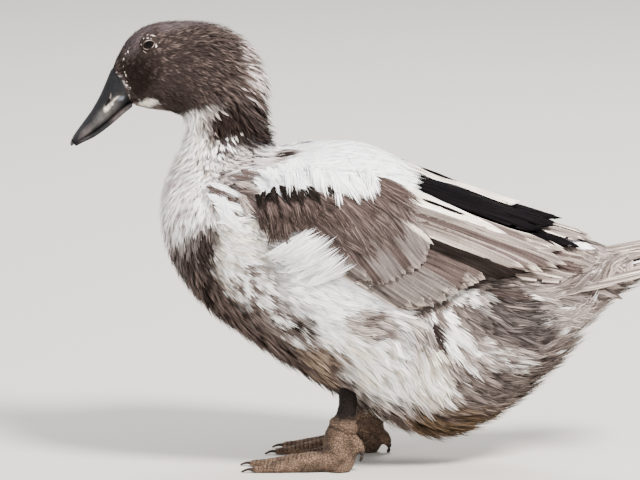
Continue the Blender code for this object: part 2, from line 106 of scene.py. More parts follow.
def bakedMesh(made, name=None):
    # the evaluated object as a plain mesh, with no modifier left on it
    bpy.context.view_layer.update()
    graph = bpy.context.evaluated_depsgraph_get()
    mesh = bpy.data.meshes.new_from_object(
        made.evaluated_get(graph), preserve_all_data_layers=True, depsgraph=graph)
    made.modifiers.clear()
    made.data = mesh
    if name:
        mesh.name = name
    return made


def vertexArray(mesh, layer="co"):
    found = np.empty(len(mesh.vertices) * 3, np.float32)
    if layer == "co":
        mesh.vertices.foreach_get("co", found)
    else:
        mesh.vertex_normals.foreach_get("vector", found)
    return found.reshape(-1, 3).astype(float)


def setPoints(mesh, points):
    mesh.vertices.foreach_set("co", np.asarray(points, np.float32).ravel())
    mesh.update()


def storeValues(mesh, name, values, kind="FLOAT"):
    layer = mesh.attributes.new(name, kind, "POINT")
    field = {"FLOAT": "value", "FLOAT_VECTOR": "vector", "FLOAT_COLOR": "color"}[kind]
    values = np.asarray(values, np.float32)
    if kind == "FLOAT_COLOR" and values.shape[1] == 3:
        values = np.hstack([values, np.ones((len(values), 1), np.float32)])
    layer.data.foreach_set(field, values.ravel())


def relaxed(points, edges, rounds):
    # each point drawn halfway to the middle of its neighbours
    count = np.bincount(edges.ravel(), minlength=len(points)).reshape(-1, 1)
    for _ in range(rounds):
        total = np.zeros_like(points)
        for axis in range(3):
            total[:, axis] += np.bincount(edges[:, 0], points[edges[:, 1], axis], len(points))
            total[:, axis] += np.bincount(edges[:, 1], points[edges[:, 0], axis], len(points))
        points = points + 0.5 * (total / np.maximum(count, 1) - points)
    return points


def edgeArray(mesh):
    found = np.empty(len(mesh.edges) * 2, np.int32)
    mesh.edges.foreach_get("vertices", found)
    return found.reshape(-1, 2)


def smoothStep(low, high, value):
    t = np.clip((value - low) / (high - low), 0.0, 1.0)
    return t * t * (3 - 2 * t)


def unit(vectors):
    return vectors / np.maximum(np.linalg.norm(vectors, axis=-1, keepdims=True), 1e-9)


def ovalReach(along, seen, centre, radii, tilt):
    # how far out each place lies in a tilted oval: 1 on its edge
    turn = math.radians(tilt)
    a, h = along - centre[0], seen - centre[1]
    return np.hypot((a * math.cos(turn) + h * math.sin(turn)) / radii[0],
                    (h * math.cos(turn) - a * math.sin(turn)) / radii[1])


def noiseAt(places, scale):
    # a soft random value at each place, the same every run
    return np.array([noise.noise(Vector(p) * scale) for p in places])


def newMaterial(name, roughness, shine):
    made = bpy.data.materials.new(name)
    made.use_nodes = True
    shader = made.node_tree.nodes["Principled BSDF"]
    shader.inputs["Roughness"].default_value = roughness
    shader.inputs["Specular IOR Level"].default_value = shine
    return made, made.node_tree, shader


# camera, floor and light

studio = {
    "camera distance": 6.0,
    "camera rise": 9.0,  # degrees above level
    "looks at": (0.0, -49.6 * mm, 153.0 * mm),
    "frame width": 435.2 * mm,
    "film width": 36.0,
    "lamps aim at": (0, 0, 130.0 * mm),
    "floor half size": 6.0,
    "floor colour": (0.44, 0.42, 0.39, 1.0),
    "sky colour": (0.94, 0.95, 1.0, 1.0),
    "sky strength": 1.15,
}
lamps = [
    # name, place, size, watts, colour
    ("keyLight", (1.6, 1.3, 2.3), 0.8, 390.0, (1.0, 0.96, 0.90)),
    ("fillLight", (2.2, -1.9, 0.9), 1.8, 88.0, (1.0, 0.98, 0.96)),
    ("rimLight", (-1.7, 0.4, 1.9), 1.2, 95.0, (1.0, 0.97, 0.93)),
]


def areaLamp(name, place, size, watts, colour):
    lamp = bpy.data.lights.new(name, "AREA")
    lamp.shape = "DISK"
    lamp.size = size
    lamp.energy = watts
    lamp.color = colour
    made = newObject(name, lamp)
    made.location = place
    aim = Vector(studio["lamps aim at"]) - Vector(place)
    made.rotation_euler = aim.to_track_quat("-Z", "Y").to_euler()
    made.visible_glossy = name == "keyLight"  # one bright glint in each eye, not three


def setStudio():
    aim = Vector(studio["looks at"]) + Vector((0, shift, 0))
    rise = math.radians(studio["camera rise"])
    away = Vector((math.cos(rise), 0, math.sin(rise))) * studio["camera distance"]
    lens = bpy.data.cameras.new("camera")
    lens.sensor_width = studio["film width"]
    lens.lens = studio["film width"] * studio["camera distance"] / studio["frame width"]
    lens.clip_end = 50.0
    camera = newObject("camera", lens)
    camera.location = aim + away
    camera.rotation_euler = (-away).to_track_quat("-Z", "Y").to_euler()
    bpy.context.scene.camera = camera
    for lamp in lamps:
        areaLamp(*lamp)
    world = bpy.data.worlds.new("studioSky")
    world.use_nodes = True
    back = world.node_tree.nodes["Background"]
    back.inputs["Color"].default_value = studio["sky colour"]
    back.inputs["Strength"].default_value = studio["sky strength"]
    bpy.context.scene.world = world
    half = studio["floor half size"]
    corners = [(-half, -half, 0), (half, -half, 0), (half, half, 0), (-half, half, 0)]
    floor = meshObject("floor", corners, [(0, 1, 2, 3)])
    paint, _, shader = newMaterial("floorPaint", 0.8, 0.5)
    shader.inputs["Base Color"].default_value = studio["floor colour"]
    floor.data.materials.append(paint)


setStudio()
print("studio set")


# node tree helpers

def addNode(tree, kind, values=None, **settings):
    node = tree.nodes.new(kind)
    for key, value in settings.items():
        setattr(node, key, value)
    for key, value in (values or {}).items():
        if isinstance(key, int):
            socket = node.inputs[key]
        else:
            socket = next(s for s in node.inputs if s.name == key and s.enabled)
        if isinstance(value, bpy.types.NodeSocket):
            tree.links.new(value, socket)
        else:
            socket.default_value = value
    return node


def output(node, name=None):
    live = [s for s in node.outputs if s.enabled]
    return live[0] if name is None else next(s for s in live if s.name == name)


def outOf(tree, kind, values=None, **settings):
    return output(addNode(tree, kind, values, **settings))


def maths(tree, operation, first, second=0.0, third=None):
    values = {0: first, 1: second}
    if third is not None:
        values[2] = third
    return outOf(tree, "ShaderNodeMath", values, operation=operation)


def scaledPlus(tree, first, factor, more):
    return maths(tree, "MULTIPLY_ADD", first, factor, more)


def times(tree, first, second):
    return maths(tree, "MULTIPLY", first, second)


def vectorMath(tree, operation, values):
    return outOf(tree, "ShaderNodeVectorMath", values, operation=operation)


def mixColour(tree, factor, first, second, blend="MIX"):
    node = tree.nodes.new("ShaderNodeMix")
    node.data_type = "RGBA"
    node.blend_type = blend
    sockets = {s.identifier: s for s in node.inputs}
    for key, value in (("Factor_Float", factor), ("A_Color", first), ("B_Color", second)):
        if isinstance(value, bpy.types.NodeSocket):
            tree.links.new(value, sockets[key])
        else:
            sockets[key].default_value = value
    return next(s for s in node.outputs if s.identifier == "Result_Color")


def shaded(tree, colour, tone):
    grey = outOf(tree, "ShaderNodeCombineXYZ", {"X": tone, "Y": tone, "Z": tone})
    return mixColour(tree, 1.0, colour, grey, "MULTIPLY")


def objectPlace(tree):
    return output(addNode(tree, "ShaderNodeTexCoord"), "Object")


def ranged(tree, value, low, high, toLow=0.0, toHigh=1.0):
    return outOf(tree, "ShaderNodeMapRange", {
        "Value": value, "From Min": low, "From Max": high, "To Min": toLow, "To Max": toHigh})


def grainOf(tree, where, scale, detail):
    return outOf(tree, "ShaderNodeTexNoise", {"Vector": where, "Scale": scale, "Detail": detail})


def linkBump(tree, shader, height, strength, distance):
    bump = addNode(tree, "ShaderNodeBump", {"Height": height, "Strength": strength, "Distance": distance})
    tree.links.new(output(bump), shader.inputs["Normal"])


def newTree(name, inputs):
    # a geometry tree with more inputs: {name: (socket type, default)}
    tree = bpy.data.node_groups.new(name, "GeometryNodeTree")
    tree.interface.new_socket("Geometry", in_out="INPUT", socket_type="NodeSocketGeometry")
    tree.interface.new_socket("Geometry", in_out="OUTPUT", socket_type="NodeSocketGeometry")
    for key, (socketType, default) in inputs.items():
        made = tree.interface.new_socket(key, in_out="INPUT", socket_type=socketType)
        if default is not None:
            made.default_value = default
    return tree, tree.nodes.new("NodeGroupInput"), tree.nodes.new("NodeGroupOutput")


def addTree(made, tree, values):
    # a Geometry Nodes modifier with its inputs set by their sockets' identifiers
    step = made.modifiers.new(tree.name, "NODES")
    step.node_group = tree
    for item in tree.interface.items_tree:
        if item.item_type == "SOCKET" and item.in_out == "INPUT" and item.name in values:
            step[item.identifier] = values[item.name]


# the body's middle line, with what the coat is like round each place on it

bodyLine = [
    # along, up, tuft length, tuft width, coat depth
    (-196.0, 256.0, 2.4, 1.3, 0.5),
    (-184.0, 264.0, 2.8, 1.4, 0.7),
    (-170.0, 271.0, 3.8, 1.7, 1.4),
    (-152.0, 273.0, 4.9, 1.8, 2.0),
    (-134.0, 268.0, 6.6, 2.1, 2.6),
    (-120.0, 256.0, 9.2, 2.8, 3.7),
    (-114.0, 238.0, 12.0, 3.8, 4.6),
    (-113.0, 220.0, 13.0, 4.6, 5.2),
    (-107.0, 200.0, 14.0, 6.0, 5.8),
    (-90.0, 178.0, 15.0, 7.0, 6.2),
    (-58.0, 158.0, 17.0, 8.0, 6.8),
    (-15.0, 138.0, 20.0, 8.5, 7.6),
    (35.0, 121.0, 22.0, 8.5, 8.0),
    (80.0, 112.0, 23.0, 8.0, 8.0),
    (115.0, 116.0, 23.0, 7.5, 7.0),
    (140.0, 128.0, 21.0, 7.0, 5.5),
    (165.0, 139.0, 18.0, 7.0, 3.0),
    (205.0, 152.0, 16.0, 6.0, 1.6),
]
lineSteps = 12  # places between two stations


def curvedLine(stations, steps):
    table = np.array(stations)
    places = np.linspace(0, len(table) - 1, (len(table) - 1) * steps + 1)
    low = np.minimum(places.astype(int), len(table) - 2)
    t = (places - low).reshape(-1, 1)
    before, after = table[np.maximum(low - 1, 0)], table[np.minimum(low + 2, len(table) - 1)]
    start, end = table[low], table[low + 1]
    return 0.5 * (2 * start + (end - before) * t + (2 * before - 5 * start + 4 * end - after) * t**2
                  + (3 * start - before - 3 * end + after) * t**3)


line = curvedLine(bodyLine, lineSteps)
lineTangent = unit(np.gradient(line[:, :2], axis=0))
lineLength = np.concatenate([[0], np.cumsum(np.linalg.norm(np.diff(line[:, :2], axis=0), axis=1))])


def onBody(points):
    # for places in metres: how far along the middle line, how far up or back from it,
    # and the coat's length, width and depth there, all in mm
    flat = (points[:, 1:3] - np.array([shift, 0])) / mm
    nearest = np.empty(len(flat), int)
    for part in range(0, len(flat), 20000):
        gap = flat[part:part + 20000, None, :] - line[None, :, :2]
        nearest[part:part + 20000] = np.argmin((gap**2).sum(-1), axis=1)
    tangent = lineTangent[nearest]
    gap = flat - line[nearest, :2]
    along = lineLength[nearest] + (gap * tangent).sum(1)
    back = gap[:, 1] * tangent[:, 0] - gap[:, 0] * tangent[:, 1]
    return along, back, line[nearest, 2], line[nearest, 3], line[nearest, 4]


# how the feathers lie, seen from the side: along, up, angle above level in degrees
coatLie = [
    (-190, 258, 10), (-178, 280, 25), (-182, 264, -5), (-165, 300, 12), (-168, 262, -18),
    (-150, 292, 4), (-150, 262, -12), (-145, 303, 0), (-125, 302, -12), (-112, 288, -32),
    (-100, 272, -38), (-130, 270, -22), (-125, 248, -40), (-150, 246, -10), (-165, 246, -5),
    (-135, 236, -60), (-94, 250, -52), (-92, 232, -66), (-110, 235, -80), (-130, 222, -88),
    (-142, 215, -96), (-150, 198, -102), (-158, 178, -94), (-156, 155, -84), (-148, 132, -62),
    (-132, 110, -42), (-110, 90, -36), (-85, 72, -30), (-55, 60, -22), (-25, 50, -14),
    (-128, 195, -90), (-128, 170, -75), (-112, 200, -55), (-112, 165, -12), (-107, 152, -2),
    (-95, 205, -25), (-90, 165, -6), (-89, 138, -14), (-120, 140, -25), (-112, 118, -24),
    (-85, 118, -24), (-75, 98, -26), (-73, 149, 20), (-53, 151, 14), (-43, 148, 2),
    (-33, 142, -42), (-70, 132, -8), (-56, 138, 8), (-62, 122, -26), (-80, 118, -30),
    (-43, 120, -10), (-16, 117, -2), (-2, 111, -14), (8, 97, -62), (13, 80, -76),
    (-30, 97, 0), (-16, 104, -20), (-6, 94, -46), (-62, 97, -25), (-43, 83, -40),
    (-30, 70, -35), (-9, 70, -42), (5, 70, -52), (-43, 63, -35), (5, 49, -55),
    (-73, 70, -25), (15, 104, -58), (20, 78, -60), (28, 80, -55), (42, 110, -35),
    (53, 114, -25), (73, 111, -6), (100, 107, 4), (114, 107, 16), (134, 117, 32),
    (124, 90, 44), (114, 76, 44), (148, 112, 36), (59, 73, -20), (73, 66, 0),
    (86, 70, 12), (103, 80, 36), (39, 66, -34), (52, 59, -28), (32, 52, -30),
    (25, 42, -10), (52, 42, 2), (73, 52, 16), (39, 28, 0), (10, 32, -8),
    (93, 62, 32), (134, 131, 20), (154, 135, 18), (114, 128, 8), (86, 125, -4),
    (66, 121, -10), (190, 150, 18), (-75, 212, -4), (-50, 214, -6), (-30, 214, -12),
    (5, 205, -26), (32, 186, -30), (60, 172, -26), (90, 160, -22), (120, 155, -16),
]
wingLie = [
    (-86, 184, -58), (-82, 165, -68), (-76, 152, -62), (-66, 186, -50), (-60, 165, -56),
    (-45, 172, -46), (-30, 160, -42), (-15, 150, -38), (0, 165, -32), (20, 150, -30),
    (-20, 185, -28), (10, 185, -28), (-60, 205, -12), (-30, 210, -14), (0, 205, -24),
    (40, 180, -28), (80, 165, -24), (130, 155, -14),
]


def sideView(points):
    # along and up in mm, as seen from the side and a little above
    along = (points[:, 1] - shift) / mm
    return along, points[:, 2] / mm - sightFall * np.abs(points[:, 0]) / mm


def lieOf(points, normals, table):
    # the direction the coat lies in at each point, along the surface
    along, seen = sideView(points)
    total = np.zeros((len(points), 3))
    for a, h, angle in table:
        weight = 1 / ((along - a) ** 2 + (seen - h) ** 2 + 36.0) ** 2
        total[:, 1] += weight * math.cos(math.radians(angle))
        total[:, 2] += weight * math.sin(math.radians(angle))
    total = unit(total)
    total[:, 2] -= 0.25 * smoothStep(0.75, 1.0, np.abs((total * normals).sum(1)))
    return unit(total - normals * (total * normals).sum(1, keepdims=True))


def insideOutline(along, seen, corners):
    # how far inside a closed outline each place is, in mm; below nought outside
    nearest = np.full(len(along), 1e9)
    inside = np.zeros(len(along), bool)
    for (a0, h0), (a1, h1) in zip(corners, corners[1:] + corners[:1]):
        da, dh = a1 - a0, h1 - h0
        t = np.clip(((along - a0) * da + (seen - h0) * dh) / (da * da + dh * dh), 0, 1)
        nearest = np.minimum(nearest, np.hypot(along - a0 - t * da, seen - h0 - t * dh))
        crosses = (h0 > seen) != (h1 > seen)
        with np.errstate(divide="ignore", invalid="ignore"):
            inside ^= crosses & (along < a0 + (seen - h0) / (dh or 1e-9) * da)
    return np.where(inside, nearest, -nearest)


# the markings, the same for skin and coat

plumage = {
    # litWhite is the same white plumage painted cooler and a little brighter: painted sky light on the lit
    # back, used on the mantle and the flank
    "litWhite": (0.90, 0.90, 0.92),
    "white": (0.88, 0.855, 0.83),
    "cream": (0.74, 0.67, 0.58),
    "pinkGrey": (0.54, 0.47, 0.46),
    "paleGrey": (0.33, 0.275, 0.255),
    "grey": (0.145, 0.116, 0.106),
    "brown": (0.084, 0.062, 0.055),
    "mauve": (0.032, 0.0235, 0.0215),
    "lilac": (0.090, 0.071, 0.074),
    "slate": (0.052, 0.043, 0.041),
    "dark": (0.0145, 0.0098, 0.0086),
    "black": (0.004, 0.003, 0.003),
    "stain": (0.115, 0.078, 0.050),
    "tan": (0.230, 0.170, 0.125),
}

# name, (along, up as seen from the side), (half length, half width), tilt, main, fleck, fleck share,
# softness of its edge; later ones lie over earlier ones
marks = [
    ("body", (0, 100), (400, 400), 0, "grey", "paleGrey", 0.45, 0.1),
    ("rear flank", (80, 88), (60, 60), 0, "grey", "paleGrey", 0.35, 0.5),
    ("rear slate", (86, 102), (38, 22), -6, "slate", "grey", 0.28, 0.5),
    ("rear mauve", (80, 110), (18, 7), -10, "mauve", "slate", 0.40, 0.5),
    ("rear edge", (122, 92), (20, 40), 28, "paleGrey", "white", 0.35, 0.5),
    ("rear streaks", (58, 78), (30, 9), -16, "paleGrey", "white", 0.40, 0.6),
    ("rear low", (74, 58), (40, 12), 16, "grey", "slate", 0.45, 0.6),
    ("behind thigh", (34, 92), (14, 30), -20, "grey", "white", 0.50, 0.5),
    ("white patch", (53, 113), (9, 5), -20, "white", "paleGrey", 0.3, 0.5),
    ("low white", (24, 62), (16, 20), -30, "cream", "white", 0.4, 0.5),
    ("dark spot", (25, 84), (7, 6), -40, "mauve", "grey", 0.4, 0.6),
    ("lower spot", (41, 64), (8, 5), -40, "mauve", "grey", 0.4, 0.6),
    ("tail root", (118, 122), (16, 10), 0, "grey", "mauve", 0.4, 0.5),
    ("breast", (-140, 168), (32, 42), 0, "pinkGrey", "white", 0.6, 0.4),
    ("upper breast", (-112, 196), (34, 16), -8, "white", "paleGrey", 0.30, 0.5),
    ("side of breast", (-104, 150), (22, 36), 0, "cream", "white", 0.5, 0.4),
    ("shoulder", (-104, 184), (17, 15), 0, "paleGrey", "slate", 0.40, 0.6),
    ("side shade", (-104, 172), (20, 6), -10, "paleGrey", "mauve", 0.30, 0.5),
    ("front shade", (-149, 134), (9, 24), -22, "grey", "mauve", 0.45, 0.5),
    ("breast patch", (-128, 141), (15, 26), -4, "mauve", "grey", 0.34, 0.45),
    ("light blotch", (-135, 147), (5, 4), 0, "paleGrey", "white", 0.4, 0.6),
    ("lower breast", (-112, 107), (42, 18), -40, "brown", "dark", 0.42, 0.4),
    ("keel", (-72, 73), (57, 18), -34, "brown", "dark", 0.35, 0.4),
    ("flank", (-38, 116), (58, 34), -46, "litWhite", "cream", 0.22, 0.4),
    ("mottled flank", (-94, 127), (19, 14), -50, "grey", "white", 0.50, 0.6),
    ("mottled streaks", (-70, 99), (25, 9), -30, "grey", "white", 0.52, 0.6),
    ("dark streak", (-66, 98), (10, 3), -20, "mauve", "grey", 0.35, 0.6),
    ("tan", (-50, 76), (16, 12), -35, "tan", "brown", 0.4, 0.5),
    ("thigh", (-12, 73), (33, 21), -46, "white", "cream", 0.45, 0.4),
    ("belly", (34, 28), (56, 16), 5, "stain", "brown", 0.30, 0.4),
    ("under thigh", (-8, 37), (16, 7), -30, "brown", "cream", 0.40, 0.5),
    ("smudge", (-18, 97), (23, 9), -16, "grey", "paleGrey", 0.45, 0.5),
    ("leg pit", (-34, 52), (17, 9), -30, "brown", "dark", 0.4, 0.5),
    ("mantle", (-42, 202), (70, 28), -8, "litWhite", "litWhite", 0.2, 0.3),
    ("mantle lobe", (-20, 176), (26, 15), -20, "litWhite", "litWhite", 0.2, 0.3),
    ("left mantle spot", (-79, 209), (13, 4.5), 14, "grey", "dark", 0.5, 0.5),
    ("rump", (72, 180), (64, 15), -26, "black", "black", 0.25, 0.3),
    ("neck", (-130, 226), (22, 32), 0, "white", "cream", 0.4, 0.3),
    ("neck border", (-117, 222), (9, 30), 14, "paleGrey", "dark", 0.55, 0.5),
    ("hind neck", (-105, 228), (19, 27), 4, "dark", "paleGrey", 0.20, 0.35),
    ("neck foot", (-100, 207), (22, 8), 8, "pinkGrey", "dark", 0.3, 0.6),
    ("neck streaks", (-117, 214), (15, 6), 24, "slate", "white", 0.45, 0.6),
    ("head", (-150, 272), (50, 31), 0, "mauve", "brown", 0.35, 0.12),
    ("hind head", (-112, 268), (24, 24), 30, "mauve", "brown", 0.4, 0.35),
    ("nape streaks", (-96, 268), (11, 29), 24, "brown", "pinkGrey", 0.46, 0.5),
    ("nape low", (-94, 240), (9, 20), 0, "mauve", "pinkGrey", 0.35, 0.5),
    ("crown", (-138, 302), (30, 8), 0, "lilac", "brown", 0.35, 0.6),
    ("forehead", (-172, 292), (14, 9), 50, "lilac", "brown", 0.4, 0.7),
    ("lores", (-172, 266), (15, 13), -30, "dark", "mauve", 0.25, 0.5),
    ("cheek", (-150, 252), (18, 10), 10, "mauve", "dark", 0.3, 0.6),
    ("chin", (-163, 244.6), (6.8, 2.3), -4, "cream", "white", 0.4, 0.4),
    ("throat", (-137, 232), (9, 10), 30, "white", "cream", 0.4, 0.35),
    ("under cheek", (-149, 241), (8, 6), -14, "mauve", "brown", 0.4, 0.5),
    ("bill edge", (-182, 260), (13, 1.8), -61, "mauve", "pinkGrey", 0.3, 0.4),
    ("gape", (-176.5, 248.0), (7.0, 2.6), 38, "dark", "dark", 0.5, 0.3),
    ("gape spot", (-170.5, 249.8), (1.1, 0.6), -20, "cream", "white", 0.5, 0.4),
]


noise.seed_set(3)  # without it the markings would change from run to run


def markings(points):
    # main colour, fleck colour and the flecks' share at places given in metres
    place = np.asarray(points, float)
    along, seen = sideView(place)
    side = np.where(place[:, 0] < 0, 31.0, 0.0)
    swirl, finer = (np.array([noise.noise_vector(Vector((a * scale + s, h * scale, s)))[:2]
                              for a, h, s in zip(along, seen, side)]) for scale in (0.045, 0.16))
    along = along + 7.0 * swirl[:, 0] + 2.6 * finer[:, 0]
    seen = seen + 6.0 * swirl[:, 1] + 2.6 * finer[:, 1]
    main = np.zeros((len(place), 3))
    fleck = np.zeros((len(place), 3))
    share = np.zeros(len(place))
    left = smoothStep(-2 * mm, 2 * mm, place[:, 0])
    for name, centre, radii, tilt, first, second, amount, soft in marks:
        weight = 1 - smoothStep(1 - soft, 1 + soft * 0.5, ovalReach(along, seen, centre, radii, tilt))
        weight = weight * left if name.startswith("left") else weight
        main += weight[:, None] * (np.array(plumage[first]) - main)
        fleck += weight[:, None] * (np.array(plumage[second]) - fleck)
        share += weight * (amount - share)
    return main, fleck, share


# skin: one closed surface from the nodes of flesh, lying under the coat

skinSettings = {
    "parts": ["head", "neck", "trunk", "wing_left", "wing_right", "eye_left", "eye_right", "tail"],
    "grow": 1.4 * mm,  # closes the gaps between the solids
    "voxel": 2.0 * mm,
    "rounds": 10,
    "tail kept to": 196.0 * mm,  # beyond this the tail is feathers only
    "collar": (0.0, -184.0, 259.0),  # how far down the bill the skin of the face runs
    "wing edge": (-4.0, 2.0),  # where the skin sinks under the wing
    "wing ends": (150, 120),
    "wing depth": 6.0,
    "tail starts": (150, 175),
    "tail depth": 1.2,
    "tail lowered": (138, 154),
    "under tail roof": 1.8,
    "bill edge": (0.5 * mm, 5.0 * mm),  # the coat's depth grows over this way from the bill
    "eye clear": 9.0 * mm,  # the coat thins toward the eye, and the skin sinks into a socket
    "socket": 3.6,
    "nape": (45, 75, 105, 130),  # where the feathers of the nape grow longer and loosely
    "nape longer": 0.65,
    "nape looser": 1.4,
}
legSettings = {
    "parts": ["foot_left", "foot_right", "leg_left", "leg_right"],
    "grow": 0.5 * mm,
    "voxel": 0.8 * mm,
    "rounds": 5,
    "scute": 2.9,  # length of one scute along a toe
    "fold": 2.7,
    "cuff": 31.5,  # height of the thick fold round the ankle
    "cuff rise": 1.3,
    "groove depth": 0.42,
    "toe taper": 0.42,
    "toe half width": (5.2, 3.6),
    "toe height": (17, 12),
    "round ankle": (24, 14),
    "folds": (9, 15),  # heights over which the folds begin
    "deep folds": (24, 33, 38, 44),  # heights between which they are deepest
    # above these heights the shank takes the painted shade colour: painted shade on the shank
    "dusk from": (33, 40),
    "colour": (0.104, 0.067, 0.046),
    "paler colour": (0.134, 0.088, 0.059),
    "dusk colour": (0.007, 0.0042, 0.0032),
}
eyeCentres = {side: sum(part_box(f"eye_{side}"), Vector()) / 2 for side in ("left", "right")}
eyeRadius = (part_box("eye_left")[1].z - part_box("eye_left")[0].z) / 2


def grow(work, by):
    # every corner moved out along its normal
    work.normal_update()
    moves = [(v, v.normal * by) for v in work.verts]
    for vertex, move in moves:
        vertex.co += move


def cutOff(work, place, way):
    # what lies beyond a plane is removed, and the cut is closed
    bmesh.ops.bisect_plane(work, geom=work.verts[:] + work.edges[:] + work.faces[:],
                           plane_co=place, plane_no=way, clear_outer=True)
    bmesh.ops.holes_fill(work, edges=[e for e in work.edges if e.is_boundary])


def smoothed(mesh, rounds, grown, share):
    # relaxed, then drawn in by a share of what it had grown
    points = relaxed(vertexArray(mesh), edgeArray(mesh), rounds)
    setPoints(mesh, points)
    points = points - vertexArray(mesh, "normal") * grown * share
    setPoints(mesh, points)
    return points


def remeshed(name, work, voxel):
    made = newObject(name, meshFrom(work, name))
    step = made.modifiers.new("Fuse", "REMESH")
    step.mode = "VOXEL"
    step.voxel_size = voxel
    return bakedMesh(made)


def makeForm():
    # the body's outside, smoothed, which the long feathers are laid on
    work = cadCopy(*skinSettings["parts"])
    collar = cadCopy("bill_upper", "bill_lower")
    cutOff(collar, Vector(skinSettings["collar"]) * mm + Vector((0, shift, 0)), billWay)
    work.from_mesh(meshFrom(collar, "collar"))
    grow(work, skinSettings["grow"])
    made = remeshed("form", work, skinSettings["voxel"])
    smoothed(made.data, skinSettings["rounds"], skinSettings["grow"], 0.8)
    return made


def closeness(points, tree):
    return np.array([tree.find_nearest(p)[3] for p in points])


def fromEyes(points):
    return np.min([np.linalg.norm(points - np.array(c), axis=1) for c in eyeCentres.values()], axis=0)


# what the long feathers of the wing hide, seen from the side
wingOutline = [
    (-90, 196), (-84, 160), (-80, 151), (-74, 150), (-58, 163), (-39, 155), (-33, 139), (-18, 128), (1, 116),
    (14, 109), (33, 116), (61, 129), (88, 128), (118, 131), (141, 145), (150, 160), (20, 250), (-90, 250),
]
# the tail's roof: along and up, then along and how steeply it falls to each side
tailLine = [(100, 141), (118, 143), (150, 147.5), (170, 150.8), (190, 154.6), (217, 159.6), (236, 163)]
tailSlope = [(100, 0.75), (130, 0.75), (150, 0.62), (170, 0.48), (200, 0.36), (217, 0.30)]


def tailHeight(across, along):
    # the roof the tail's long feathers lie on, all in mm
    middle = np.interp(along, *zip(*tailLine))
    return middle - np.interp(along, *zip(*tailSlope)) * np.maximum(np.abs(across) - 4.0, 0.0)


def makeSkin():
    work = bmesh.new()
    work.from_mesh(form.data)
    cutOff(work, (0, skinSettings["tail kept to"] + shift, 0), (0, 1, 0))
    mesh = meshFrom(work, "skin")
    mesh.shade_smooth()
    made = newObject("skin", mesh)
    edges = edgeArray(mesh)
    points = vertexArray(mesh)
    depth = onBody(points)[4]
    along, seen = sideView(points)
    onWing = smoothStep(*skinSettings["wing edge"], insideOutline(along, seen, wingOutline))
    onWing *= smoothStep(*skinSettings["wing ends"], along)
    depth += onWing * (np.maximum(depth, skinSettings["wing depth"]) - depth)
    depth += smoothStep(*skinSettings["tail starts"], along) * (skinSettings["tail depth"] - depth)
    eyeGap = fromEyes(points)
    clear = skinSettings["eye clear"]
    depth = 0.6 + (depth - 0.6) * smoothStep(clear * 0.9, clear * 1.8, eyeGap)
    depth += skinSettings["socket"] * smoothStep(clear * 0.92, clear * 0.78, eyeGap)
    depth *= smoothStep(*skinSettings["bill edge"], closeness(points, billTree))
    depth = relaxed(np.repeat(depth[:, None], 3, 1), edges, 3)[:, 0] * mm
    points = points - vertexArray(mesh, "normal") * depth[:, None]
    over = points[:, 2] - (tailHeight(points[:, 0] / mm, along) - skinSettings["under tail roof"]) * mm
    points[:, 2] -= smoothStep(*skinSettings["tail lowered"], along) * np.maximum(over, 0.0)
    setPoints(mesh, relaxed(points, edges, 2))
    return made


def loweredToes(points):
    # the toes grow lower and thinner toward their ends
    for label in ("left", "right"):
        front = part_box("foot_" + label)[0].y
        mine = points[:, 0] > 0 if label == "left" else points[:, 0] < 0
        flat = mine * smoothStep(34 * mm, -2 * mm, points[:, 1] - front)
        points[:, 2] *= 1 - legSettings["toe taper"] * flat
    return points


def makeLegs():
    work = cadCopy(*legSettings["parts"])
    grow(work, legSettings["grow"])
    made = remeshed("legs", work, legSettings["voxel"])
    points = loweredToes(smoothed(made.data, legSettings["rounds"], legSettings["grow"], 0.9))
    points[:, 2] = np.maximum(points[:, 2], onFloor)
    setPoints(made.data, points)
    return made


def storeWhere(mesh, points, along, back):
    # places along and round the middle line, from which the coat's map is worked out
    reach = np.hypot(points[:, 0] / mm, back)
    storeValues(mesh, "lineAlong", along / lineLength[-1])
    storeValues(mesh, "aroundSide", points[:, 0] / mm / reach)
    storeValues(mesh, "aroundBack", back / reach)
    return back / reach


def layFields(mesh, lie):
    # what the coat needs to know at each point of a surface
    points, normals = vertexArray(mesh), vertexArray(mesh, "normal")
    along, back, length, width, depth = onBody(points)
    flow = lieOf(points, normals, lie)
    storeValues(mesh, "flow", flow, "FLOAT_VECTOR")
    storeValues(mesh, "upright", normals, "FLOAT_VECTOR")
    ridge = storeWhere(mesh, points, along, back)
    napeStart, napeFull, napeFade, napeEnd = skinSettings["nape"]
    nape = smoothStep(0.2, 0.9, ridge) * smoothStep(napeStart, napeFull, along)
    nape *= 1 - smoothStep(napeFade, napeEnd, along)
    storeValues(mesh, "tuftLength", length * (1 + skinSettings["nape longer"] * nape) * mm)
    storeValues(mesh, "tuftWidth", width * mm)
    storeValues(mesh, "tuftLift", depth * (1 + skinSettings["nape looser"] * nape) * mm)
    skinMain, skinFleck, skinShare = markings(points)
    main, fleck, share = markings(points + flow * (0.6 * length * mm)[:, None])
    storeValues(mesh, "markMain", main, "FLOAT_COLOR")
    storeValues(mesh, "markFleck", fleck, "FLOAT_COLOR")
    storeValues(mesh, "markShare", share)
    blended = skinMain + (skinFleck - skinMain) * skinShare[:, None]
    # the skin under the coat is painted darker: painted shade in the gaps between tufts; the bare rim by the
    # bill keeps its own colour
    bareRim = smoothStep(4.0 * mm, 2.0 * mm, closeness(points, billTree))[:, None]
    blended = blended * (0.6 + 0.4 * bareRim)
    storeValues(mesh, "skinColour", blended, "FLOAT_COLOR")
    return along


def treeOf(mesh):
    return BVHTree.FromPolygons([v.co for v in mesh.vertices], [tuple(f.vertices) for f in mesh.polygons])


def treeOfNodes(*names):
    work = cadCopy(*names)
    made = BVHTree.FromBMesh(work)
    work.free()
    return made


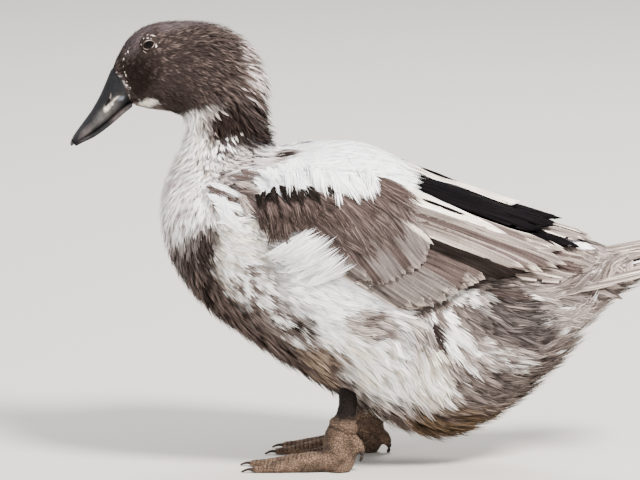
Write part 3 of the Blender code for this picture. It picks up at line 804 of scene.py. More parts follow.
billTree = treeOfNodes("bill_upper", "bill_lower")
form = makeForm()
skin = makeSkin()
formTree = treeOf(form.data)
layFields(form.data, wingLie)
skinAlong = layFields(skin.data, coatLie)
print("form", len(form.data.polygons), "skin", len(skin.data.polygons))


# feather shapes: root at the origin, tip at y = 1, width 1 and rise 1, to be scaled as they are laid

def flatShape(name, points, faces, along, across, rise, barb):
    made = meshObject(name, points, faces)
    for key, values in (("along", along), ("across", across), ("rise", rise), ("barb", barb)):
        storeValues(made.data, key, values)
    return made


def featherShape(name, seed, barbs, segments, spread, fray, bow=0.35):
    # a fan of narrow blades from one shaft; each blade is a lock of barbs
    pick = random.Random(seed)
    points, faces, along, across, rise, barb = [], [], [], [], [], []
    for j in range(barbs):
        q = 2 * j / (barbs - 1) - 1
        q += pick.uniform(-0.25, 0.25) / barbs
        reach = 1 - 0.30 * abs(q) ** 1.6 + pick.uniform(-fray, fray)
        start = 0.02 + 0.22 * (1 - abs(q)) * pick.random()
        lean = pick.uniform(-0.10, 0.10) * spread
        height = pick.uniform(-0.22, 0.22) * fray * 4
        tone = pick.random()
        base = len(points)
        for k in range(segments + 1):
            t = k / segments
            y = start + (reach - start) * t
            x = 0.5 * spread * q * (t ** 0.75) * (1.08 - 0.25 * t * t) + lean * t * t
            half = 0.62 * spread / barbs * (0.75 + 0.6 * t) * (1 - t ** 3)
            z = y ** 0.8 * (1 - bow * q * q * t) + height * t * t
            for side in ((-1, 1) if k < segments else (0,)):
                points.append((x + side * half, y, z))
                along.append(y)
                across.append(x + side * half)
                rise.append(max(z, 0.0))
                barb.append(tone)
        for k in range(segments - 1):
            a = base + 2 * k
            faces.append((a, a + 1, a + 3, a + 2))
        last = base + 2 * (segments - 1)
        faces.append((last, last + 1, last + 2))
    return flatShape(name, [(x, y, 0.0) for x, y, _ in points], faces, along, across, rise, barb)


def vaneShape(name, seed, rows, point, columns=4, slitCount=3):
    # a whole vane with a shaft, a rounded or pointed end and a few slits along its barbs
    pick = random.Random(seed)
    slits = {(pick.choice((-1, 1)), round(pick.uniform(0.45, 0.9) * rows)) for _ in range(slitCount)}
    points, faces, along, across, rise, barb = [], [], [], [], [], []
    index = {}
    for side in (-1, 1):
        for i in range(rows + 1):
            t = i / rows
            outline = (1 - max(0.0, (t - point) / (1 - point)) ** 2.2) ** 0.5
            outline *= min(1.0, 0.30 + 3.2 * t) ** 0.8
            for j in range(columns + 1):
                v = j / columns
                sweep = 0.10 * v * (1 - t) ** 0.5 + 0.02 * v
                x = side * 0.5 * outline * v
                y = min(1.0, t * 0.97 + sweep * 0.25) - 0.05 * v * v * t
                index[side, i, j] = len(points)
                points.append((x, y, 0.0))
                along.append(t)
                across.append(x)
                rise.append(t ** 0.7 * (1 - 0.35 * v * v))
                barb.append(0.5 + 0.5 * math.sin(i * 1.7 + side))
        for i in range(rows):
            for j in range(columns):
                if (side, i) in slits and j >= columns - 1:
                    continue
                corners = ((i, j), (i + 1, j), (i + 1, j + 1), (i, j + 1))
                quad = tuple(index[side, a, b] for a, b in corners)
                faces.append(quad if side < 0 else quad[::-1])
    return flatShape(name, points, faces, along, across, rise, barb)


def shapeSet(name, count, seed, maker, *measures):
    # several of a kind, each with its own chance differences
    kept = bpy.data.collections.new(name)
    bpy.context.scene.collection.children.link(kept)
    for k in range(count):
        made = maker(f"{name}{k}", seed + k, *measures)
        bpy.context.scene.collection.objects.unlink(made)
        kept.objects.link(made)
    return kept


faceShapes = shapeSet("faceTuft", 3, 11, featherShape, 3, 2, 0.9, 0.08)
downShapes = shapeSet("looseTuft", 4, 23, featherShape, 5, 3, 0.85, 0.12)
bodyShapes = shapeSet("bodyFeather", 4, 37, featherShape, 8, 3, 1.0, 0.10)
plumeShapes = shapeSet("plume", 5, 53, featherShape, 9, 4, 0.95, 0.14, 0.2)
barbedShapes = shapeSet("barbedCovert", 4, 91, featherShape, 15, 4, 1.0, 0.05, 0.45)
vaneShapes = shapeSet("vane", 5, 83, vaneShape, 22, 0.72)
broadShapes = shapeSet("broadVane", 5, 97, vaneShape, 20, 0.90)
templateSets = [faceShapes, downShapes, bodyShapes, plumeShapes, barbedShapes, vaneShapes, broadShapes]
print("feather shapes made")


# laying feathers: shared by the scattered coat and the set rows

def named(tree, name, kind="FLOAT"):
    return outOf(tree, "GeometryNodeInputNamedAttribute", {"Name": name}, data_type=kind)


def stored(tree, geometry, name, value, kind="FLOAT", domain="POINT"):
    return outOf(tree, "GeometryNodeStoreNamedAttribute", {
        "Geometry": geometry, "Name": name, "Value": value}, data_type=kind, domain=domain)


def chance(tree, low, high, seed):
    return outOf(tree, "FunctionNodeRandomValue", {"Min": low, "Max": high, "Seed": seed},
                          data_type="FLOAT")


def seedPlus(tree, seed, more):
    return maths(tree, "ADD", seed, float(more))


layingInputs = {
    "Shapes": ("NodeSocketCollection", None),
    "Surface": ("NodeSocketObject", None),
    "Seed": ("NodeSocketInt", 1),
    "Turn": ("NodeSocketFloat", 0.2),  # radians either way
    "Length spread": ("NodeSocketFloat", 0.2),
    "Lift spread": ("NodeSocketFloat", 0.3),
    "Root height": ("NodeSocketFloat", 0.0),
}


coatMap = {"around": 0.47, "ahead": 0.96, "patch": 0.003, "edge": 0.002}


def varied(tree, points, given, part, more):
    # a measure made a little more or less from one feather to the next
    name, spread = "tuft" + part, output(given, part + " spread")
    low, high = maths(tree, "SUBTRACT", 1.0, spread), maths(tree, "ADD", 1.0, spread)
    share = chance(tree, low, high, seedPlus(tree, output(given, "Seed"), more))
    return stored(tree, points, name, times(tree, named(tree, name), share))


def nearestOn(tree, surface, value):
    # the surface's value below each corner of a feather
    here = output(tree.nodes.new("GeometryNodeInputPosition"))
    return outOf(tree, "GeometryNodeSampleNearestSurface", {
        "Mesh": surface, "Value": here if value is None else value, "Sample Position": here},
        data_type="FLOAT_VECTOR")


def makeLayingGroup():
    tree, given, result = newTree("layFeathers", layingInputs)
    seed = output(given, "Seed")
    points = stored(tree, output(given, "Geometry"), "chance", chance(tree, 0.0, 1.0, seed))
    points = varied(tree, points, given, "Length", 1)
    points = varied(tree, points, given, "Lift", 2)
    most = output(given, "Turn")
    turn = chance(tree, times(tree, most, -1.0), most, seedPlus(tree, seed, 3))
    flow, outward = (named(tree, name, "FLOAT_VECTOR") for name in ("flow", "outward"))
    aim = outOf(tree, "ShaderNodeVectorRotate", {"Vector": flow, "Axis": outward, "Angle": turn})
    facing = outOf(tree, "FunctionNodeAxesToRotation", {
        "Primary Axis": outward, "Secondary Axis": aim}, primary_axis="Z", secondary_axis="Y")
    size = outOf(tree, "ShaderNodeCombineXYZ", {
        "X": named(tree, "tuftWidth"), "Y": named(tree, "tuftLength"), "Z": 1.0})
    shapes = outOf(tree, "GeometryNodeCollectionInfo", {
        "Collection": output(given, "Shapes"), "Separate Children": True, "Reset Children": True})
    feathers = outOf(tree, "GeometryNodeInstanceOnPoints", {
        "Points": points, "Instance": shapes, "Pick Instance": True, "Rotation": facing, "Scale": size})
    feathers = outOf(tree, "GeometryNodeRealizeInstances", {"Geometry": feathers})
    surface = output(addNode(tree, "GeometryNodeObjectInfo", {"Object": output(given, "Surface")},
                             transform_space="RELATIVE"), "Geometry")
    under = nearestOn(tree, surface, None)
    upright = nearestOn(tree, surface, named(tree, "upright", "FLOAT_VECTOR"))
    upright = vectorMath(tree, "NORMALIZE", {0: upright})
    rise = named(tree, "rise")
    height = maths(tree, "ADD", times(tree, rise, named(tree, "tuftLift")), output(given, "Root height"))
    height = scaledPlus(tree, named(tree, "layer"), scaledPlus(tree, rise, 0.6, 0.4), height)
    raised = vectorMath(tree, "SCALE", {0: upright, "Scale": height})
    place = vectorMath(tree, "ADD", {0: under, 1: raised})
    feathers = outOf(tree, "GeometryNodeSetPosition", {"Geometry": feathers, "Position": place})
    # the coat's map: ahead along the middle line, and round it; each feather has a small patch of its own
    angle = maths(tree, "ARCTAN2", named(tree, "aroundSide"), named(tree, "aroundBack"))
    around = maths(tree, "ADD", times(tree, angle, coatMap["around"] / math.pi), 0.5)
    ahead = times(tree, named(tree, "lineAlong"), coatMap["ahead"])
    patchU = scaledPlus(tree, named(tree, "along"), coatMap["patch"], coatMap["edge"])
    patchU = maths(tree, "ADD", patchU, ahead)
    patchV = scaledPlus(tree, named(tree, "across"), coatMap["patch"], around)
    patch = outOf(tree, "ShaderNodeCombineXYZ", {"X": patchU, "Y": patchV})
    feathers = stored(tree, feathers, "OFBake", patch, "FLOAT2", "CORNER")
    tree.links.new(feathers, result.inputs[0])
    return tree


def layAndFinish(tree, points, given, result):
    laid = addNode(tree, "GeometryNodeGroup", node_tree=layingGroup)
    tree.links.new(points, laid.inputs["Geometry"])
    for key in layingInputs:
        tree.links.new(output(given, key), laid.inputs[key])
    done = outOf(tree, "GeometryNodeSetMaterial", {
        "Geometry": output(laid), "Material": output(given, "Finish")})
    tree.links.new(done, result.inputs[0])
    return tree


def makeScatterTree():
    tree, given, result = newTree("scatterCoat", {
        "Zone": ("NodeSocketString", ""),
        "Spacing": ("NodeSocketFloat", 0.002),
        "Most": ("NodeSocketFloat", 4e6),  # roots to a square metre, before the spacing thins them
        "Fleck clump": ("NodeSocketFloat", 120.0),
        "Finish": ("NodeSocketMaterial", None),
        "Length": ("NodeSocketFloat", 1.0),
        "Width": ("NodeSocketFloat", 1.0),
        "Lift": ("NodeSocketFloat", 1.0),
        **layingInputs,
    })
    zone, seed = named(tree, output(given, "Zone")), output(given, "Seed")
    scatter = addNode(tree, "GeometryNodeDistributePointsOnFaces", {
        "Mesh": output(given, "Geometry"), "Distance Min": output(given, "Spacing"),
        "Density Max": output(given, "Most"), "Density Factor": zone, "Seed": seed},
        distribute_method="POISSON")
    points = stored(tree, output(scatter, "Points"), "outward", output(scatter, "Normal"), "FLOAT_VECTOR")
    for key in ("Length", "Width", "Lift"):
        name = "tuft" + key
        points = stored(tree, points, name, times(tree, named(tree, name), output(given, key)))
    here = output(tree.nodes.new("GeometryNodeInputPosition"))
    # flecks come in clumps and partly by chance
    clump = scaledPlus(tree, grainOf(tree, here, output(given, "Fleck clump"), 1.0), 1.5, -0.25)
    luck = chance(tree, 0.0, 1.0, seedPlus(tree, seed, 7))
    pick = maths(tree, "ADD", times(tree, clump, 0.6), times(tree, luck, 0.4))
    fleck = maths(tree, "LESS_THAN", pick, named(tree, "markShare"))
    colour = mixColour(tree, fleck, *(named(tree, name, "FLOAT_COLOR") for name in ("markMain", "markFleck")))
    points = stored(tree, points, "coatColour", colour, "FLOAT_COLOR")
    points = stored(tree, points, "layer", 0.0)
    return layAndFinish(tree, points, given, result)


def makeSetTree():
    # feathers whose roots and colours have been chosen one by one
    inputs = {"Finish": ("NodeSocketMaterial", None), **layingInputs}
    inputs["Length spread"] = ("NodeSocketFloat", 0.0)
    tree, given, result = newTree("setCoat", inputs)
    points = addNode(tree, "GeometryNodeMeshToPoints", {"Mesh": output(given, "Geometry"), "Radius": 0.001})
    return layAndFinish(tree, output(points), given, result)


layingGroup = makeLayingGroup()
scatterTree = makeScatterTree()
setTree = makeSetTree()


# finishes of the coat

def attributeNode(tree, name, outputName="Fac"):
    return output(addNode(tree, "ShaderNodeAttribute", attribute_name=name), outputName)


def makeToneGroup():
    # a feather's light and dark: locks of barbs and one feather from the next, which are its own, and a
    # darker root, partly its own grey base and partly painted shade where other feathers lie over it
    tree = bpy.data.node_groups.new("featherTone", "ShaderNodeTree")
    inputs = (("Colour", "NodeSocketColor", (1, 1, 1, 1)), ("Streak", "NodeSocketFloat", 0.3),
              ("Root shade", "NodeSocketFloat", 0.5))
    for key, kind, default in inputs:
        tree.interface.new_socket(key, in_out="INPUT", socket_type=kind).default_value = default
    tree.interface.new_socket("Colour", in_out="OUTPUT", socket_type="NodeSocketColor")
    given, result = tree.nodes.new("NodeGroupInput"), tree.nodes.new("NodeGroupOutput")
    colour = output(given, "Colour")
    pale = outOf(tree, "ShaderNodeRGBToBW", {"Color": colour})
    gentle = scaledPlus(tree, pale, -0.55, 1.0)  # pale feathers vary less
    streak, shade = (times(tree, output(given, key), gentle) for key in ("Streak", "Root shade"))
    luck = times(tree, attributeNode(tree, "chance"), 9.1)
    mixed = maths(tree, "FRACT", scaledPlus(tree, attributeNode(tree, "barb"), 3.7, luck))
    bright = scaledPlus(tree, maths(tree, "POWER", mixed, 3.0), 2.4, -0.6)  # few bright locks, many dull
    shown = 0.7  # from here to the tip nothing lies over the feather
    # toward the root the colour is darkened: painted shade under the feathers that lie over it
    near = maths(tree, "SMOOTH_MIN", attributeNode(tree, "along"), shown, 0.2)
    fade = scaledPlus(tree, maths(tree, "SUBTRACT", near, shown), shade, 1.0)
    tone = times(tree, scaledPlus(tree, bright, streak, 1.0), fade)
    palest = (0.9, 0.9, 0.9, 1)
    tree.links.new(mixColour(tree, 1.0, shaded(tree, colour, tone), palest, "DARKEN"), result.inputs[0])
    return tree


toneGroup = makeToneGroup()


def toned(tree, colour, streak, rootShade):
    node = addNode(tree, "ShaderNodeGroup", node_tree=toneGroup)
    tree.links.new(colour, node.inputs["Colour"])
    node.inputs["Streak"].default_value = streak
    node.inputs["Root shade"].default_value = rootShade
    return output(node)


def softMaterial(name, roughness, streak, rootShade):
    made, tree, shader = newMaterial(name, roughness, 0.02)
    colour = toned(tree, attributeNode(tree, "coatColour", "Color"), streak, rootShade)
    tree.links.new(colour, shader.inputs["Base Color"])
    return made


def vaneMaterial():
    # a whole vane: paler edge, darker shaft line, fine barbs and long streaks
    made, tree, shader = newMaterial("vaneCoat", 0.6, 0.01)
    along, across, luck = (attributeNode(tree, name) for name in ("along", "across", "chance"))
    far = maths(tree, "ABSOLUTE", across)
    streakPlace = outOf(tree, "ShaderNodeCombineXYZ", {
        "X": times(tree, across, 9.0), "Y": scaledPlus(tree, far, -2.5, times(tree, along, 3.0)),
        "Z": times(tree, luck, 40.0)})
    streaks = grainOf(tree, streakPlace, 1.0, 3.0)
    # the edge colour lies along the rim and the tip, broken by the streaks
    rim = ranged(tree, scaledPlus(tree, streaks, 0.12, far), 0.41, 0.50)
    tip = ranged(tree, scaledPlus(tree, streaks, 0.12, along), 0.98, 1.06)
    edge = times(tree, maths(tree, "MAXIMUM", rim, tip), attributeNode(tree, "edgeShare"))
    main, rimColour = (attributeNode(tree, name, "Color") for name in ("coatColour", "edgeColour"))
    colour = mixColour(tree, edge, main, rimColour)
    barbs = maths(tree, "SINE", scaledPlus(tree, far, -120.0, times(tree, along, 260.0)))
    shaft = ranged(tree, far, 0.0, 0.04, attributeNode(tree, "shaft"), 1.0)
    tone = scaledPlus(tree, maths(tree, "SUBTRACT", streaks, 0.5), 3.2, 1.0)
    tone = times(tree, times(tree, tone, scaledPlus(tree, barbs, 0.05, 1.0)), shaft)
    # the tone group also darkens each vane's root a little: painted shade under the feathers over it
    tree.links.new(toned(tree, shaded(tree, colour, tone), 0.12, 0.35), shader.inputs["Base Color"])
    linkBump(tree, shader, scaledPlus(tree, streaks, 2.0, barbs), 0.25, 0.0002)
    return made


def skinMaterial():
    made, tree, shader = newMaterial("skinUnderCoat", 0.8, 0.12)
    tree.links.new(attributeNode(tree, "skinColour", "Color"), shader.inputs["Base Color"])
    return made


softCoat = softMaterial("softCoat", 0.75, 0.60, 0.80)
faceCoat = softMaterial("faceCoat", 0.75, 0.32, 0.65)
barbedCoat = softMaterial("barbedCoat", 0.65, 0.75, 0.5)
vaneCoat = vaneMaterial()
skin.data.materials.append(skinMaterial())


# the soft coat, zone by zone

zoneEnds = {"head": 78.0, "neck": 128.0, "breast": 190.0, "flank": 262.0}  # along the middle line


def bandOf(places, low, high, lowSoft, highSoft):
    starts = smoothStep(low - lowSoft, low + lowSoft, places)
    return starts * (1 - smoothStep(high - highSoft, high + highSoft, places))


coatEdges = {
    # where the scattered coat fades in or out
    "wing": (3.0, 6.0),
    "bill": (0.3 * mm, 0.9 * mm),
    "eyes": (7.6 * mm, 8.2 * mm),
    "gape": (5.0, 6.5),
    "gape place": (-176, 248),
    "tail above": (138, 150),
    "tail below": (168, 184),
    "near wing": (-9.0, 2.0),  # feathers are shorter here, by the share below
    "behind shoulder": (-42, -28),
    "shorter": 0.45,
    "back": (0, 140),
    "back half width": (26 * mm, 18 * mm),
}


def coatShare(points, normals, along, seen, tucked):
    # 1 where the scattered coat grows; 0 under the wing, on bill, eyes and gape, and on the tail
    share = 1 - smoothStep(*coatEdges["wing"], tucked)
    share *= smoothStep(*coatEdges["bill"], closeness(points, billTree))
    share *= smoothStep(*coatEdges["eyes"], fromEyes(points))
    a, h = along - coatEdges["gape place"][0], seen - coatEdges["gape place"][1]
    share *= smoothStep(*coatEdges["gape"], np.hypot(a * 0.79 + h * 0.61, 2.4 * (h * 0.79 - a * 0.61)))
    top = smoothStep(-0.6, -0.3, normals[:, 2])
    start, end = (above * top + below * (1 - top)
                  for above, below in zip(coatEdges["tail above"], coatEdges["tail below"]))
    return share * (1 - smoothStep(start, end, along))


def layZones():
    points, normals = vertexArray(skin.data), vertexArray(skin.data, "normal")
    along, seen = sideView(points)
    tucked = insideOutline(along, seen, wingOutline) + 5.0 * smoothStep(-50, -30, along)
    shorter = coatEdges["shorter"] * smoothStep(*coatEdges["near wing"], tucked)
    shorter = 1 - shorter * smoothStep(*coatEdges["behind shoulder"], along)
    for name in ("tuftLength", "tuftLift"):
        layer = skin.data.attributes[name]
        values = np.empty(len(shorter), np.float32)
        layer.data.foreach_get("value", values)
        layer.data.foreach_set("value", (values * shorter).astype(np.float32))
    share = coatShare(points, normals, along, seen, tucked)
    flankEnd = zoneEnds["flank"]
    zones = {
        "head": bandOf(skinAlong, -5.0, zoneEnds["head"], 1.0, 5.0),
        "neck": bandOf(skinAlong, zoneEnds["head"], zoneEnds["neck"], 5.0, 6.0),
        "breast": bandOf(skinAlong, zoneEnds["neck"], zoneEnds["breast"], 6.0, 8.0),
    }
    flank = bandOf(skinAlong, zoneEnds["breast"], flankEnd, 8.0, 8.0)
    rear = smoothStep(flankEnd - 8, flankEnd + 8, skinAlong)
    left = smoothStep(-1.0 * mm, 1.0 * mm, points[:, 0])
    for side, mine in (("Left", left), ("Right", 1 - left)):
        zones["flank" + side] = flank * mine
        zones["rear" + side] = rear * mine
    for name, values in zones.items():
        storeValues(skin.data, "zone_" + name, values * share)
    points, normals = vertexArray(form.data), vertexArray(form.data, "normal")
    along, seen = sideView(points)
    storeValues(form.data, "zone_mantle", smoothStep(-1.0, 2.5, insideOutline(along, seen, mantleOutline)))
    back = bandOf(along, *coatEdges["back"], 5, 6) * smoothStep(0.35, 0.6, normals[:, 2])
    back *= smoothStep(*coatEdges["back half width"], np.abs(points[:, 0]))
    storeValues(form.data, "zone_back", back)


mantleOutline = [
    (-97, 192), (-89, 187), (-71, 192), (-56, 187), (-37, 182), (-20, 180), (-16, 190), (-6, 194), (-4, 206),
    (-2, 240), (-100, 240),
]
layZones()

headCoat = {
    "Shapes": faceShapes, "Spacing": 0.85 * mm, "Turn": 0.30, "Seed": 3,
    "Length spread": 0.25, "Lift spread": 0.35, "Fleck clump": 260.0,
}
neckCoat = {
    "Shapes": downShapes, "Spacing": 1.3 * mm, "Turn": 0.28, "Seed": 5,
    "Length spread": 0.3, "Lift spread": 0.4, "Fleck clump": 160.0,
}
breastCoat = {
    "Shapes": bodyShapes, "Spacing": 2.2 * mm, "Turn": 0.22, "Seed": 8,
    "Length spread": 0.2, "Lift spread": 0.3, "Fleck clump": 110.0,
}
flankCoat = {
    "Shapes": plumeShapes, "Spacing": 2.5 * mm, "Turn": 0.2, "Length": 1.25, "Width": 1.1,
    "Length spread": 0.25, "Lift spread": 0.35, "Fleck clump": 70.0,
}
rearCoat = {
    "Shapes": plumeShapes, "Spacing": 2.6 * mm, "Turn": 0.24, "Length": 1.1, "Lift": 1.1,
    "Length spread": 0.4, "Lift spread": 0.6, "Fleck clump": 90.0,
}
mantleCoat = {
    "Shapes": plumeShapes, "Spacing": 2.9 * mm, "Turn": 0.2, "Seed": 31, "Length": 1.5, "Width": 1.5,
    "Lift": 0.32, "Root height": -0.8 * mm, "Length spread": 0.2, "Lift spread": 0.3, "Fleck clump": 60.0,
}
backCoat = {
    "Shapes": plumeShapes, "Spacing": 3.0 * mm, "Turn": 0.14, "Seed": 35, "Length": 1.4, "Width": 1.2,
    "Lift": 0.28, "Root height": -1.6 * mm, "Length spread": 0.2, "Lift spread": 0.3, "Fleck clump": 60.0,
}
keptAttributes = {
    "shaft", "coatColour", "edgeColour", "edgeShare", "chance", "along", "across", "barb", "OFBake",
}


def trimAttributes(mesh):
    for name in [a.name for a in mesh.attributes]:
        layer = mesh.attributes.get(name)
        if layer and not layer.is_internal and not layer.is_required and name not in keptAttributes:
            mesh.attributes.remove(layer)


def finishCoat(made, name, finish):
    bakedMesh(made, name)
    trimAttributes(made.data)
    made.data.materials.clear()
    made.data.materials.append(finish)
    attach(made, "root")
    print(name, sum(len(f.vertices) - 2 for f in made.data.polygons))


def laySoftCoat(piece, zone, settings, surface=skin, finish=softCoat):
    made = newObject(piece, surface.data.copy())
    addTree(made, scatterTree, {"Zone": "zone_" + zone, "Surface": surface, "Finish": finish, **settings})
    finishCoat(made, piece, finish)


laySoftCoat("coat_head", "head", headCoat, finish=faceCoat)
laySoftCoat("coat_neck", "neck", neckCoat)
laySoftCoat("coat_breast", "breast", breastCoat)
laySoftCoat("coat_flank_left", "flankLeft", {**flankCoat, "Seed": 13})
laySoftCoat("coat_flank_right", "flankRight", {**flankCoat, "Seed": 14})
laySoftCoat("coat_rear_left", "rearLeft", {**rearCoat, "Seed": 21})
laySoftCoat("coat_rear_right", "rearRight", {**rearCoat, "Seed": 22})
laySoftCoat("coat_mantle", "mantle", mantleCoat, form)
laySoftCoat("coat_back", "back", backCoat, form)


# long feathers, set in fans: roots and tips along two lines seen from the side (along, up), in mm

vaneColours = {
    "black": (0.003, 0.0025, 0.003),
    "soot": (0.010, 0.0074, 0.0066),
    "earth": (0.036, 0.026, 0.023),
    "mauve": (0.068, 0.050, 0.046),
    "umber": (0.055, 0.039, 0.035),
    "drab": (0.110, 0.092, 0.085),
    "ash": (0.125, 0.103, 0.096),
    "sand": (0.185, 0.150, 0.134),
    "fawn": (0.45, 0.38, 0.33),
    "cream": (0.72, 0.62, 0.53),
    "white": (0.85, 0.84, 0.86),
}
fans = [
    # name, shape, roots, tips, how many, width, layer, step, lift, main colour, edge colour, the rest;
    # lowest first, and the step lifts each feather over the one before it; of the rest, "loose" scatters
    # roots and tips, "mix" is the share in mauve, "shade" darkens all, "even" is the darkest that chance
    # makes one, and "keep" is how far from the middle they stay
    ("rump side", "long", [(78, 132), (88, 158)], [(122, 128), (138, 136), (143, 150)],
     7, 11, -1.8, 0.1, 1.2, "sand", "fawn", {"mix": 0.4}),
    ("brown tips", "long", [(78, 170), (82, 166)], [(139, 157), (134, 160)],
     2, 8, -1.6, 0.3, 7.0, "sand", "cream", {}),
    ("white tip", "long", [(80, 160), (84, 158)], [(141, 146), (138, 149)],
     2, 7, -1.4, 0.2, 1.6, "white", "white", {}),
    ("primaries", "long", [(8, 184), (12, 193), (17, 198)], [(98, 153), (112, 155), (119, 163), (104, 168)],
     11, 13, -0.6, 0.12, 1.6, "black", "black", {}),
    ("ridge", "long", [(12, 207)], [(91, 182)],
     1, 6, 3.6, 0.2, 6.8, "cream", "white", {"keep": 2.0}),
    ("upper primaries", "long", [(10, 191), (16, 199)], [(106, 156), (119, 163), (112, 166), (104, 167)],
     8, 11, 0.4, 0.15, 6.5, "black", "black", {}),
    ("secondaries", "broad", [(-54, 150), (-40, 158), (-14, 160)],
     [(8, 109), (18, 107), (32, 111), (46, 118), (61, 127)],
     20, 15, -1.0, 0.045, 2.0, "drab", "fawn", {"loose": 0.2, "even": 0.84, "shade": 0.9, "mix": 0.12}),
    ("stripe", "long", [(2, 158), (6, 160)], [(80, 129), (95, 129)],
     3, 12, 0.8, 0.1, 1.4, "soot", "soot", {}),
    ("tertials", "long", [(-6, 172), (16, 180)],
     [(94, 135), (106, 133), (116, 136), (119, 141), (112, 145), (98, 148)],
     12, 11, 1.3, 0.06, 1.6, "sand", "cream", {"even": 0.9, "mix": 0.28}),
    ("short black", "long", [(84, 160), (96, 158)], [(109, 147), (127, 145)],
     3, 4, 3.0, 0.1, 0.6, "black", "black", {}),
    ("greater coverts", "broad", [(-58, 154), (-38, 172), (-6, 184)],
     [(-22, 129), (-6, 121), (8, 126), (20, 136), (24, 146)],
     17, 13, 0.8, 0.06, 1.6, "ash", "sand", {"even": 0.76, "shade": 0.68, "loose": 1.0, "mix": 0.3}),
    ("cream edge", "long", [(-10, 180)], [(26, 150)],
     1, 5, 2.6, 0.1, 1.0, "fawn", "cream", {}),
    ("dark line", "long", [(14, 182)], [(48, 169)],
     1, 3, 3.0, 0.1, 1.0, "black", "black", {}),
    ("pale strip", "long", [(-2, 184), (4, 189)], [(62, 161), (79, 155)],
     3, 6, 2.2, 0.2, 1.0, "cream", "white", {}),
    ("lower median", "barbed", [(-60, 160), (-38, 176), (-8, 188)],
     [(-34, 139), (-20, 134), (-6, 141), (8, 154), (16, 164)],
     18, 11, 1.4, 0.06, 1.4, "mauve", "ash", {"loose": 3}),
    ("upper median", "barbed", [(-64, 168), (-40, 184), (-8, 194)],
     [(-44, 148), (-30, 145), (-14, 150), (2, 160), (18, 172)],
     18, 10, 1.8, 0.05, 1.3, "mauve", "earth", {"loose": 3}),
    ("near median", "barbed", [(-64, 180), (-40, 188), (-12, 196)],
     [(-48, 162), (-34, 160), (-18, 162), (2, 174), (16, 182)],
     18, 9, 2.1, 0.05, 1.2, "umber", "earth", {"loose": 3}),
    ("shoulder front", "barbed", [(-122, 192), (-114, 168)], [(-107, 184), (-99, 160)],
     13, 7, 0.2, 0.03, 1.8, "white", "white", {"loose": 6, "mix": 0.22}),
    ("shoulder", "barbed", [(-108, 203), (-101, 176)], [(-92, 197), (-87, 168)],
     12, 8, 0.4, 0.04, 2.2, "sand", "white", {"loose": 5, "mix": 0.35}),
    ("lesser fifth", "barbed", [(-83, 163), (-64, 171)], [(-79, 149), (-56, 160)],
     12, 7, 1.4, 0.04, 1.5, "earth", "mauve", {"loose": 3}),
    ("lesser fourth", "barbed", [(-86, 168), (-56, 176)], [(-83, 155), (-46, 164)],
     16, 7, 1.7, 0.04, 1.5, "earth", "mauve", {"loose": 3}),
    ("lesser third", "barbed", [(-88, 174), (-50, 181)], [(-85, 161), (-40, 169)],
     18, 6.5, 2.0, 0.04, 1.5, "earth", "mauve", {"loose": 3}),
    ("lesser second", "barbed", [(-90, 180), (-50, 186)], [(-87, 167), (-40, 174)],
     18, 6.5, 2.3, 0.04, 1.5, "umber", "mauve", {"loose": 3}),
    ("lesser first", "barbed", [(-91, 185), (-50, 190)], [(-88, 173), (-40, 179)],
     18, 6.5, 2.5, 0.04, 1.5, "soot", "earth", {"loose": 3}),
    ("mantle edge", "barbed", [(-90, 202), (-70, 206), (-46, 200), (-30, 196), (-18, 200)],
     [(-82, 185), (-75, 187), (-64, 184), (-52, 184), (-36, 180), (-15, 177), (-12, 184)],
     25, 9.5, 2.7, 0.04, 1.8, "white", "white", {"loose": 4}),
    ("flank plume", "barbed", [(-86, 143), (-72, 131), (-58, 120)], [(-56, 164), (-42, 156), (-31, 141)],
     10, 9, 3.3, 0.04, 1.6, "white", "white", {"loose": 1.6}),
]
longSettings = {"Seed": 41, "Turn": 0.03, "Lift spread": 0.15}
shortSettings = {"Seed": 43, "Turn": 0.22, "Lift spread": 0.4}


def castSide(along, seen, side, keepOff, ground):
    # a place on the body's side, found along a line of sight and kept off the middle
    start = Vector((side * 0.2, along * mm + shift, seen * mm + sightFall * 0.2))
    place, normal, _, _ = ground.ray_cast(start, Vector((-side, 0, -sightFall)).normalized())
    if place is None:
        beside = Vector((side * 3 * keepOff, along * mm + shift, seen * mm + 0.003))
        place, normal, _, _ = ground.find_nearest(beside)
    if abs(place.x) < keepOff:
        place, normal, _, _ = ground.find_nearest(Vector((side * keepOff, place.y, place.z)))
    return place, normal


def lerpLine(corners, t):
    lengths = np.concatenate([[0], np.cumsum([math.dist(a, b) for a, b in zip(corners, corners[1:])])])
    return [float(np.interp(t * lengths[-1], lengths, [c[axis] for c in corners])) for axis in (0, 1)]


